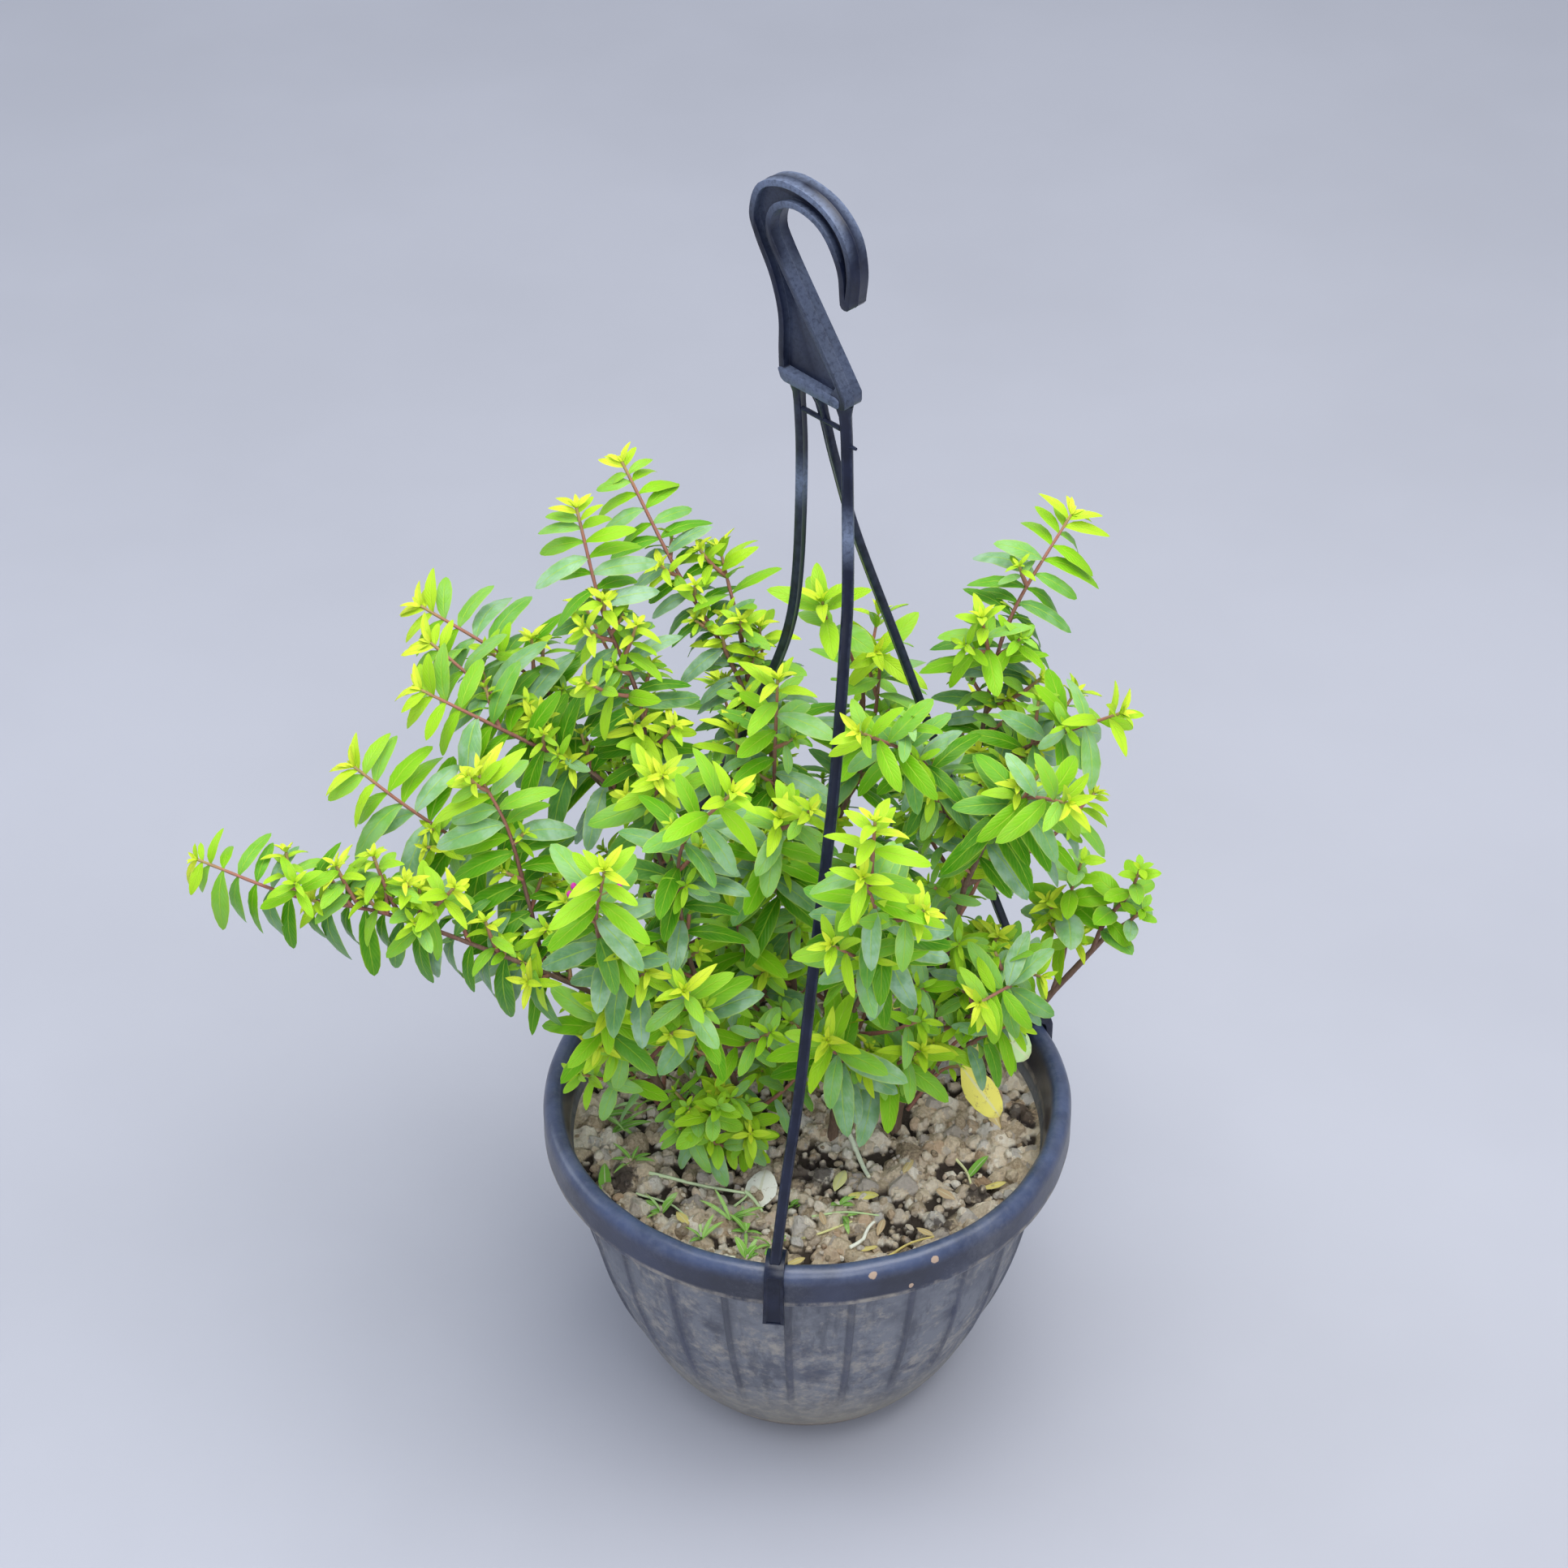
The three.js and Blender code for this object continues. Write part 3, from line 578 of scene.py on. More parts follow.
def new_material(name: str, roughness: float, specular: float,
                 **settings: object) -> tuple[Material, Tree, Node]:
    """Starts a material.

    Args:
        name: Its name.
        roughness: How dull it is.
        specular: How strongly it reflects.
        settings: Plain values for more of the shader's sockets.

    Returns:
        The material, its nodes and its shader node.
    """
    material = bpy.data.materials.new(name)
    material.use_nodes = True
    tree = Tree(material.node_tree)
    tree.owner.nodes.clear()
    named = {key.replace("_", " ").title(): value for key, value in settings.items()}
    looks = {"Roughness": roughness, "Specular IOR Level": specular} | named
    shader = tree.add("ShaderNodeBsdfPrincipled", looks)
    tree.add("ShaderNodeOutputMaterial", {"Surface": Value(tree, shader.outputs[0])})
    return material, tree, shader


def shared_effect(name: str, build: Callable[..., Value], *inputs: str) -> NodeTree:
    """Builds an effect that more than one material uses, once.

    Args:
        name: Its name.
        build: Works out what it gives from its tree and a value for each input.
        inputs: The names of its inputs. The first is a vector and the others are numbers.

    Returns:
        The effect.
    """
    tree = Tree(bpy.data.node_groups.new(name, "ShaderNodeTree"))
    for number, socket in enumerate(inputs):
        kind = "NodeSocketFloat" if number else "NodeSocketVector"
        tree.owner.interface.new_socket(socket, in_out="INPUT", socket_type=kind)
    tree.owner.interface.new_socket("Outcome", in_out="OUTPUT", socket_type="NodeSocketFloat")
    given = tree.add("NodeGroupInput").outputs
    outcome = build(tree, *(Value(tree, given[socket]) for socket in inputs))
    tree.add("NodeGroupOutput", {"Outcome": outcome})
    return tree.owner


@dataclass
class SharedEffects:
    """The effects that more than one material uses, each built once."""

    dust: NodeTree = field(init=False)
    mottle: NodeTree = field(init=False)
    wear: NodeTree = field(init=False)
    grain: NodeTree = field(init=False)

    def __post_init__(self) -> None:
        """Builds the effects."""
        entries = ("Vector", "Amount", "Patch Scale", "Speck Scale")
        self.dust = shared_effect("settled dust", self._dust, *entries)
        self.mottle = shared_effect("mottles", self._mottle, "Vector", "Amount", "Scale")
        self.wear = shared_effect("rubbed edges", self._wear, "Vector", "Amount")
        self.grain = shared_effect("moulded grain", self._grain, "Vector")

    @staticmethod
    def _dust(tree: Tree, vector: Value, amount: Value, patch_scale: Value, speck_scale: Value) -> Value:
        """Patches of settled dust, broken up at two scales."""
        cloud = tree.noise(vector, patch_scale, 5, 0.62) * 0.72 + tree.noise(vector, speck_scale, 2, 0.7) * 0.28
        low = (1.0 - amount) * 0.5 + 0.25 - 0.1
        return cloud.between(low, low + 0.22, smooth=False)

    @staticmethod
    def _mottle(tree: Tree, vector: Value, amount: Value, scale: Value) -> Value:
        """Sharp small blots that crowd together in places, as of splashed mud."""
        crowded = tree.noise(vector, scale, 6, 0.72) * 0.7 + tree.noise(vector, scale * 0.2, 2, 0.5) * 0.3
        low = 0.64 - amount * 0.28
        return crowded.between(low, low + 0.15, smooth=False)

    @staticmethod
    def _wear(tree: Tree, vector: Value, amount: Value) -> Value:
        """Rubbed edges, from the attribute "edge" broken up by noise."""
        return tree.kept("edge") * tree.noise(vector, 260, 4, 0.7).between(0.35, 0.65) * amount

    @staticmethod
    def _grain(tree: Tree, vector: Value) -> Value:
        """The fine pitted grain of moulded plastic, as a height."""
        return tree.noise(vector, 1500, 2, 0.5) * 0.35 + tree.noise(vector, 140, 3, 0.5)


def ragged_spots(tree: Tree, spots: Spots, soft: float) -> Value:
    """Where ragged spots lie.

    Args:
        tree: The material's nodes.
        spots: The middle and the radius of each, in millimetres.
        soft: The share of the radius over which a spot fades.

    Returns:
        A value from 0 to 1.
    """
    place = tree.place()
    ragged = (tree.noise(place, 320, 3, 0.6) - 0.5) * 1.3
    whole = None
    for middle, radius in spots:
        ends = {0: place, 1: tuple(part * MM for part in middle)}
        off = tree.value("ShaderNodeVectorMath", "Value", ends, operation="DISTANCE")
        spot = (off / (radius * MM) + ragged).between(1.0, 1.0 - soft)
        whole = tree.most(whole, spot) if whole else spot
    return whole


@dataclass(frozen=True)
class PotPlastic:
    """Recycled black plastic with a blue sheen and a painted blue highlight along the crest, mottled with dust down
    the wall and muddy at the foot.
    """

    base: Colour = (0.009, 0.012, 0.028)
    sheen: Colour = (0.022, 0.03, 0.068)
    # The colour of the painted highlight along the crest.
    crest: Colour = (0.062, 0.09, 0.185)
    rubbed: Colour = (0.18, 0.2, 0.27)
    film: Colour = (0.195, 0.205, 0.232)
    dust: Colour = (0.4, 0.36, 0.3)
    mud: Colour = (0.3, 0.275, 0.22)
    splash: Colour = (0.46, 0.33, 0.24)
    bare_spots: Spots = (((3.1, -79.5, 59.4), 9.5), ((-34.0, -77.8, 84.0), 7.0), ((54.0, -66.0, 79.0), 7.0),
                         ((-52.0, 60.0, 64.0), 9.0))
    splashes: Spots = (((24.2, -97.0, 128.2), 1.8), ((46.8, -88.4, 127.8), 1.9), ((38.0, -92.4, 119.0), 1.2),
                       ((-70, 71, 124), 1.8))

    def build(self, effects: SharedEffects) -> Material:
        """Makes the material."""
        material, tree, shader = new_material("pot plastic", 0.42, 0.7)
        place = tree.place()
        height = tree.parts(place)[2]
        kept = self._dusty_share(tree, height)
        film = tree.effect(effects.dust, vector=place, amount=0.72, patch_scale=42.0, speck_scale=300.0)
        film = (film * 0.6 + 0.35) * kept
        more_below = 0.42 + height.between(0.12, 0.0) * 0.3
        dust = tree.effect(effects.mottle, vector=place, amount=more_below, scale=230.0) * kept * 0.7
        stains = tree.effect(effects.mottle, vector=place, amount=0.46, scale=110.0) * kept
        mud = height.between(0.05, 0.004) * tree.noise(place, 35, 4).between(0.2, 0.5)
        drops = ragged_spots(tree, self.splashes, 0.25)
        seam = height.between(0.1142, 0.1154) * height.between(0.118, 0.1166)
        line = seam * tree.effect(effects.mottle, vector=place, amount=0.8, scale=90.0) * 0.7
        marks = tree.most(drops, line)
        colour = tree.mix(film, self._plastic(effects, tree, place, height), self.film)
        colour = tree.mix(dust, colour, self.dust)
        colour = tree.mix(stains * 0.72, colour, self.sheen)
        colour = tree.mix(mud * 0.8, colour, self.mud)
        colour = tree.mix(line, colour, self.dust)
        tree.put(shader.inputs["Base Color"], tree.mix(drops, colour, self.splash))
        dull = tree.most(tree.most(film, dust), tree.most(mud, marks))
        tree.put(shader.inputs["Roughness"], 0.33 + dull * 0.5)
        relief = tree.effect(effects.grain, vector=place) + tree.most(dust, marks) * 0.8
        tree.put(shader.inputs["Normal"], tree.bump(relief, 0.00022, 0.6))
        return material

    def _dusty_share(self, tree: Tree, height: Value) -> Value:
        """How much of the dust is kept: all below the band, less on the ribs and where it is washed off."""
        below = height.between(0.1165, 0.113)
        washed = tree.noise(tree.place(stretch=0.16), 110, 4, 0.65).between(0.52, 0.64)
        bare = tree.most(ragged_spots(tree, self.bare_spots, 0.8) * 0.72, washed * 0.5)
        return below * (1.0 - tree.kept("rib") * 0.72) * (1.0 - bare)

    def _plastic(self, effects: SharedEffects, tree: Tree, place: Value, height: Value) -> Value:
        """The plastic under the dust: clouded, with a painted blue highlight along the crest, and rubbed at the edges.
        """
        plastic = tree.mix(tree.noise(place, 26, 4).between(0.35, 0.7), self.base, self.sheen)
        # Painted highlight: the top of the rim band lighter and bluer, broken up by noise.
        crest = height.between(0.1245, 0.1305) * tree.noise(place, 60, 4).between(0.3, 0.65, (0.35, 0.9))
        plastic = tree.mix(crest, plastic, self.crest)
        worn = tree.effect(effects.wear, vector=place, amount=0.8) * 0.5
        haze = tree.effect(effects.dust, vector=place, amount=0.3, patch_scale=34.0, speck_scale=700.0) * 0.3
        return tree.mix(haze, tree.mix(worn, plastic, self.rubbed), self.film)


@dataclass(frozen=True)
class HangerPlastic:
    """Satin black plastic with a blue sheen, pale rubbed edges, nicks and scuffs, and pale painted highlights on the
    hook's crown, sloping rim and ledge.
    """

    base: Colour = (0.004, 0.006, 0.017)
    sheen: Colour = (0.008, 0.0115, 0.032)
    # The pale colour of rubbed edges, nicks and scuffs, and of the painted highlights on the hook.
    worn: Colour = (0.2, 0.25, 0.38)

    def build(self, effects: SharedEffects) -> Material:
        """Makes the material."""
        material, tree, shader = new_material("hanger plastic", 0.3, 0.36)
        place = tree.place()
        plastic = tree.mix(tree.noise(place, 90, 4).between(0.35, 0.7), self.base, self.sheen)
        # The kept value rubbed: real scuffs on the straps, and painted highlights on the hook's crown, sloping rim and
        # ledge.
        rubbed = tree.kept("rubbed") * tree.noise(place, 700, 3, 0.7).between(0.25, 0.6, (0.4, 1))
        nicks = tree.noise(tree.place(stretch=0.12), 900, 2, 0.8).between(0.7, 0.76)
        nicks = nicks * tree.noise(place, 60, 2).between(0.56, 0.66) * 0.6
        worn = tree.effect(effects.wear, vector=place, amount=0.07)
        marks = tree.most(tree.most(worn, rubbed), nicks)
        tree.put(shader.inputs["Base Color"], tree.mix(marks, plastic, self.worn))
        tree.put(shader.inputs["Roughness"], 0.28 + marks * 0.35)
        tree.put(shader.inputs["Normal"], tree.bump(tree.effect(effects.grain, vector=place), 0.00012, 0.5))
        return material


@dataclass(frozen=True)
class PottingMix:
    """Dry soil: tan crumbs and clods with damp patches, darker clods in places, and painted shade in the hollows."""

    # The darkest soil tone, also used for the painted shade in the hollows.
    dark_and_hollow_shade: Colour = (0.065, 0.05, 0.04)
    brown: Colour = (0.4, 0.31, 0.205)
    tan: Colour = (0.78, 0.65, 0.47)
    pale: Colour = (0.95, 0.9, 0.78)
    grey: Colour = (0.42, 0.41, 0.42)
    rust: Colour = (0.56, 0.36, 0.22)
    damp: Colour = (0.07, 0.055, 0.052)
    grit: Colour = (0.6, 0.52, 0.42)
    # Clods darkened at listed spots: the middle and the radius of each.
    darker_clods: Spots = (((0.3, -23.6, 111.0), 9.5), ((49.7, -53.4, 111.0), 5.5), ((-51.1, -43.3, 111.0), 4.5),
                         ((81.3, 8.6, 111.0), 8.0), ((64.0, -36.0, 111.0), 5.0), ((-70.0, -28.0, 111.0), 7.0))

    def build(self) -> Material:
        """Makes the material."""
        material, tree, shader = new_material("potting mix", 0.95, 0.2)
        place = tree.place()
        lift, _, chance = tree.parts(tree.kept("place", "Vector"))
        fine = tree.noise(place, 900, 4, 0.7)
        colour = tree.ramp(chance * 0.5 + fine * 0.5, (0.14, self.dark_and_hollow_shade), (0.28, self.brown), (0.52, self.tan),
                           (0.8, self.pale))
        spread = tree.math("FRACT", chance * 7.3)
        colour = tree.mix(spread.between(0.62, 0.9) * 0.55, colour, self.grey)
        colour = tree.mix(spread.between(0.12, 0.0) * 0.6, colour, self.rust)
        # Painted shade: the low parts of the surface, the hollows between clods, darkened.
        colour = tree.mix(lift.between(0.42, 0.05), colour, self.dark_and_hollow_shade)
        damp = tree.noise(place, 26, 3).between(0.6, 0.72) * 0.6
        # The listed clods are darkened with the same colour as the damp patches.
        damp = tree.most(damp, ragged_spots(tree, self.darker_clods, 0.3) * 0.85)
        colour = tree.mix(damp, colour, self.damp)
        grains = tree.add("ShaderNodeTexVoronoi", {"Vector": place, "Scale": 420.0}).outputs
        pale = tree.parts(Value(tree, grains["Color"]))[0].between(0.9, 0.95)
        tree.put(shader.inputs["Base Color"], tree.mix(pale * 0.45, colour, self.grit))
        crumbs = fine + Value(tree, grains["Distance"]) * 0.6
        tree.put(shader.inputs["Normal"], tree.bump(crumbs, 0.0012, 0.9))
        return material


class LeafSide(Enum):
    """The two faces of a leaf, in the order of their materials on a stem."""

    UPPER = 0
    UNDER = 1


@dataclass(frozen=True)
class LeafSkin:
    """Living leaves: lime at the shoots' tips, blue green below with a painted pale sky reflection on some, light
    passing through.
    """

    side: LeafSide = LeafSide.UPPER
    youngest: Colour = (0.7, 0.83, 0.05)
    young: Colour = (0.44, 0.71, 0.028)
    half_grown: Colour = (0.23, 0.53, 0.012)
    grown: Colour = (0.095, 0.35, 0.004)
    old: Colour = (0.028, 0.18, 0.006)
    blotch: Colour = (0.26, 0.52, 0.015)
    rib: Colour = (0.42, 0.62, 0.045)
    margin: Colour = (0.55, 0.76, 0.07)
    under: Colour = (0.3, 0.5, 0.035)
    # The colour of the painted pale bluish reflection of the sky.
    painted_sky_sheen: Colour = (0.42, 0.6, 0.5)

    def build(self) -> Material:
        """Makes the material."""
        material, tree, shader = new_material(
            f"leaf {self.side.name.lower()} side", 0.5, 0.34, specular_tint=(0.85, 1.0, 0.4, 1.0),
            subsurface_weight=0.2, subsurface_radius=(0.8, 1.2, 0.08), subsurface_scale=0.0012)
        place = tree.place()
        along, across, chance = tree.parts(tree.kept("place", "Vector"))
        age = tree.kept("age") + along * -0.05 + (chance - 0.5) * 0.16
        blotch = tree.noise(place, 160, 3).between(0.3, 0.75)
        off = abs(across)
        width = 0.05 + (1.0 - along) * 0.07
        midrib = off.between(width, width * 0.4, smooth=False)
        slant = along * 9.0 - off * 2.6
        veins = 1.0 - tree.math("POWER", abs(tree.math("SINE", slant * 3.1416)), 0.35)
        colour = tree.ramp(age, (0.0, self.youngest), (0.14, self.young), (0.36, self.half_grown),
                           (0.66, self.grown), (1.0, self.old))
        colour = tree.mix(blotch * 0.18, colour, self.blotch)
        if self.side is LeafSide.UNDER:
            colour = tree.mix(0.45, colour, self.under)
        else:
            # Painted reflection: a pale bluish sheen, as of the sky on glossy leaves, on the upper side of grown
            # leaves picked by chance.
            ripe = age.between(0.2, 0.75) * chance.between(0.32, 0.92, (0.0, 0.7))
            colour = tree.mix(ripe * blotch.between(0, 1, (0.5, 1.0)), colour, self.painted_sky_sheen)
        colour = tree.mix(veins * 0.16, colour, self.rib)
        colour = tree.mix(midrib * 0.5, colour, self.rib)
        tree.put(shader.inputs["Base Color"], tree.mix(off.between(0.86, 1.0) * 0.4, colour, self.margin))
        tree.put(shader.inputs["Roughness"], blotch.between(0, 1, (0.3, 0.44)))
        relief = midrib * -1.0 + veins * -0.6 + tree.noise(place, 900, 2) * 0.3
        tree.put(shader.inputs["Normal"], tree.bump(relief, 0.00025, 0.5))
        return material


@dataclass(frozen=True)
class StemBark:
    """Bark: red and smooth on young shoots, grey brown and cracked on old wood."""

    tip: Colour = (0.42, 0.46, 0.1)
    young: Colour = (0.44, 0.17, 0.12)
    middle: Colour = (0.2, 0.078, 0.06)
    old: Colour = (0.17, 0.115, 0.08)
    ridges: Colour = (0.3, 0.2, 0.14)

    def build(self) -> Material:
        """Makes the material."""
        material, tree, shader = new_material("stem bark", 0.7, 0.35)
        bark = tree.noise(tree.place(stretch=0.2), 900, 4, 0.65)
        ages = ((0.0, self.tip), (0.14, self.young), (0.5, self.middle), (1.0, self.old))
        colour = tree.ramp(tree.kept("age"), *ages)
        tree.put(shader.inputs["Base Color"], tree.mix(bark.between(0.4, 0.65) * 0.45, colour, self.ridges))
        tree.put(shader.inputs["Normal"], tree.bump(bark, 0.0006, 0.7))
        return material


@dataclass(frozen=True)
class DryLeaf:
    """Fallen leaves, straws and weeds, from green over yellow to pale straw by their age."""

    ages: tuple[tuple[float, Colour], ...] = (
        (0.0, (0.13, 0.38, 0.03)), (0.25, (0.3, 0.6, 0.1)), (0.45, (0.8, 0.92, 0.6)), (0.56, (1.0, 1.0, 0.88)),
        (0.62, (0.8, 0.82, 0.44)), (0.8, (0.9, 0.82, 0.16)), (1.0, (0.6, 0.44, 0.26)))
    rib: Colour = (0.75, 0.74, 0.5)
    spots: Colour = (0.32, 0.22, 0.1)
    burnt: Colour = (0.4, 0.28, 0.14)

    def build(self) -> Material:
        """Makes the material."""
        material, tree, shader = new_material("dry leaf", 0.7, 0.3)
        place = tree.place()
        along, across, _ = tree.parts(tree.kept("place", "Vector"))
        colour = tree.ramp(tree.kept("age"), *self.ages)
        colour = tree.mix(abs(across).between(0.14, 0.05) * 0.6, colour, self.rib)
        colour = tree.mix(tree.noise(place, 330, 3, 0.7).between(0.58, 0.7) * 0.6, colour, self.spots)
        tree.put(shader.inputs["Base Color"], tree.mix(along.between(0.85, 1.0) * 0.4, colour, self.burnt))
        tree.put(shader.inputs["Normal"], tree.bump(tree.noise(place, 700, 3), 0.0003, 0.6))
        return material


@dataclass(frozen=True)
class BudSkin:
    """Magenta flower buds, darker at the foot."""

    petal: Colour = (0.62, 0.03, 0.36)
    foot: Colour = (0.3, 0.03, 0.2)

    def build(self) -> Material:
        """Makes the material."""
        material, tree, shader = new_material("flower bud", 0.5, 0.4)
        tone = tree.parts(tree.kept("place", "Vector"))[2] + tree.noise(tree.place(), 900, 2) * 0.3
        tree.put(shader.inputs["Base Color"], tree.ramp(tone, (0.2, self.foot), (0.7, self.petal)))
        return material


@dataclass(frozen=True)
class StudioFloor:
    """A plain pale floor, a little uneven in tone."""

    colour: Colour = (0.455, 0.465, 0.52)
    shade: float = 0.94

    def build(self) -> Material:
        """Makes the material."""
        material, tree, shader = new_material("studio floor", 0.85, 0.2)
        tone = tree.noise(tree.place(), 3.5, 4).between(0.3, 0.7)
        darker = tuple(self.shade * part for part in self.colour)
        tree.put(shader.inputs["Base Color"], tree.mix(tone, self.colour, darker))
        return material


# The studio


@dataclass(frozen=True)
class Camera:
    """The camera at the photograph's place: where it stands, how far it looks down and left, and its lens."""

    place: Point = (0.0, -1112.5, 1137.0)
    drop: float = math.radians(37.72)
    turn: float = math.radians(0.45)
    lens: float = 90.75
    sensor: float = 36.0
    photo_width: float = 1932.0

    def build(self) -> None:
        """Adds the camera."""
        camera = bpy.data.cameras.new("camera")
        camera.lens = self.lens
        camera.sensor_width = self.sensor
        holder = bpy.data.objects.new("camera", camera)
        holder.location = Vector(self.place) * MM
        holder.rotation_euler = (math.pi / 2 - self.drop, 0, self.turn)
        bpy.context.scene.collection.objects.link(holder)
        bpy.context.scene.camera = holder

    def ray(self, pixel: tuple[float, float]) -> Array:
        """The direction from the camera through a pixel of the photograph."""
        right = np.array((math.cos(self.turn), math.sin(self.turn), 0))
        ahead = np.cross(UP, right) * math.cos(self.drop) - UP * math.sin(self.drop)
        focal = self.lens / self.sensor * self.photo_width
        across, up = (pixel[0] - self.photo_width / 2) / focal, (self.photo_width / 2 - pixel[1]) / focal
        return unit(ahead + across * right + up * np.cross(right, ahead))


@dataclass(frozen=True)
class Softbox:
    """A square soft light: its place, the point it looks at, its size, its power in watts and its colour."""

    name: str
    place: Point
    aim: Point
    size: float
    watts: float
    colour: Colour

    def build(self) -> None:
        """Adds the light."""
        lamp = bpy.data.lights.new(self.name, "AREA")
        lamp.size = self.size * MM
        lamp.energy = self.watts
        lamp.color = self.colour
        holder = bpy.data.objects.new(self.name, lamp)
        holder.location = Vector(self.place) * MM
        holder.rotation_euler = (Vector(self.aim) - Vector(self.place)).to_track_quat("-Z", "Y").to_euler()
        bpy.context.scene.collection.objects.link(holder)


@dataclass
class Studio:
    """A plain pale floor and soft light from above."""

    lights: tuple[Softbox, ...] = (
        Softbox("overhead softbox", (200, -180, 1900), (0, 0, 150), 1600, 37.0, (1.0, 0.99, 0.96)),
        Softbox("front fill", (250, -1900, 1300), (0, 0, 200), 1300, 18.0, (0.92, 0.95, 1.0)),
        Softbox("left rim", (-1700, 500, 900), (0, 0, 200), 900, 6.0, (0.8, 0.88, 1.0)))
    sky: Colour = (0.78, 0.85, 1.0)
    sky_strength: float = 0.54
    floor_size: float = 9000.0
    floor_level: float = -0.4
    finish: StudioFloor = StudioFloor()

    def build(self) -> None:
        """Adds the floor, the lights and the sky."""
        self._floor()
        for light in self.lights:
            light.build()
        world = bpy.data.worlds.new("pale sky")
        world.use_nodes = True
        background = world.node_tree.nodes["Background"]
        background.inputs["Color"].default_value = (*self.sky, 1)
        background.inputs["Strength"].default_value = self.sky_strength
        scene = bpy.context.scene
        scene.world = world
        scene.view_settings.view_transform = "Standard"
        scene.view_settings.look = "None"

    def _floor(self) -> None:
        """The floor, which isn't part of the object."""
        floor = modelled("studio_floor", bpy.ops.mesh.primitive_grid_add, x_subdivisions=8, y_subdivisions=8,
                         size=self.floor_size * MM, location=(0, 0, self.floor_level * MM))
        bpy.ops.object.transform_apply(location=True, rotation=True, scale=True)
        floor.data.materials.append(self.finish.build())


# The pot and what fills it


RIM_RADIUS = 100.0
RIM_TOP = 131.0
CREST_RADIUS = 95.0
SKIRT_BOTTOM = 115.0
BOWL = ((42, 0.2), (54, 5.5), (67, 25), (82, 66), (91.5, 112))
BOWL_OUTSIDE = smooth_line([(36, 0), *BOWL, (93.4, 123)], 2.4)
FLOOR_THICKNESS = 2.2
WALL_THICKNESS = 2.0
SOIL_TOP = 111.0
WALL_GAP = 0.4


def bowl_inside(step: float) -> Array:
    """The inner face of the bowl's wall as (radius, height), from the soil's edge down to the floor."""
    inner = [(radius - WALL_THICKNESS, height + 0.6) for radius, height in reversed(BOWL[2:])]
    return smooth_line([(90.0, SKIRT_BOTTOM), *inner, (54, 6.5), (44, FLOOR_THICKNESS)], step)


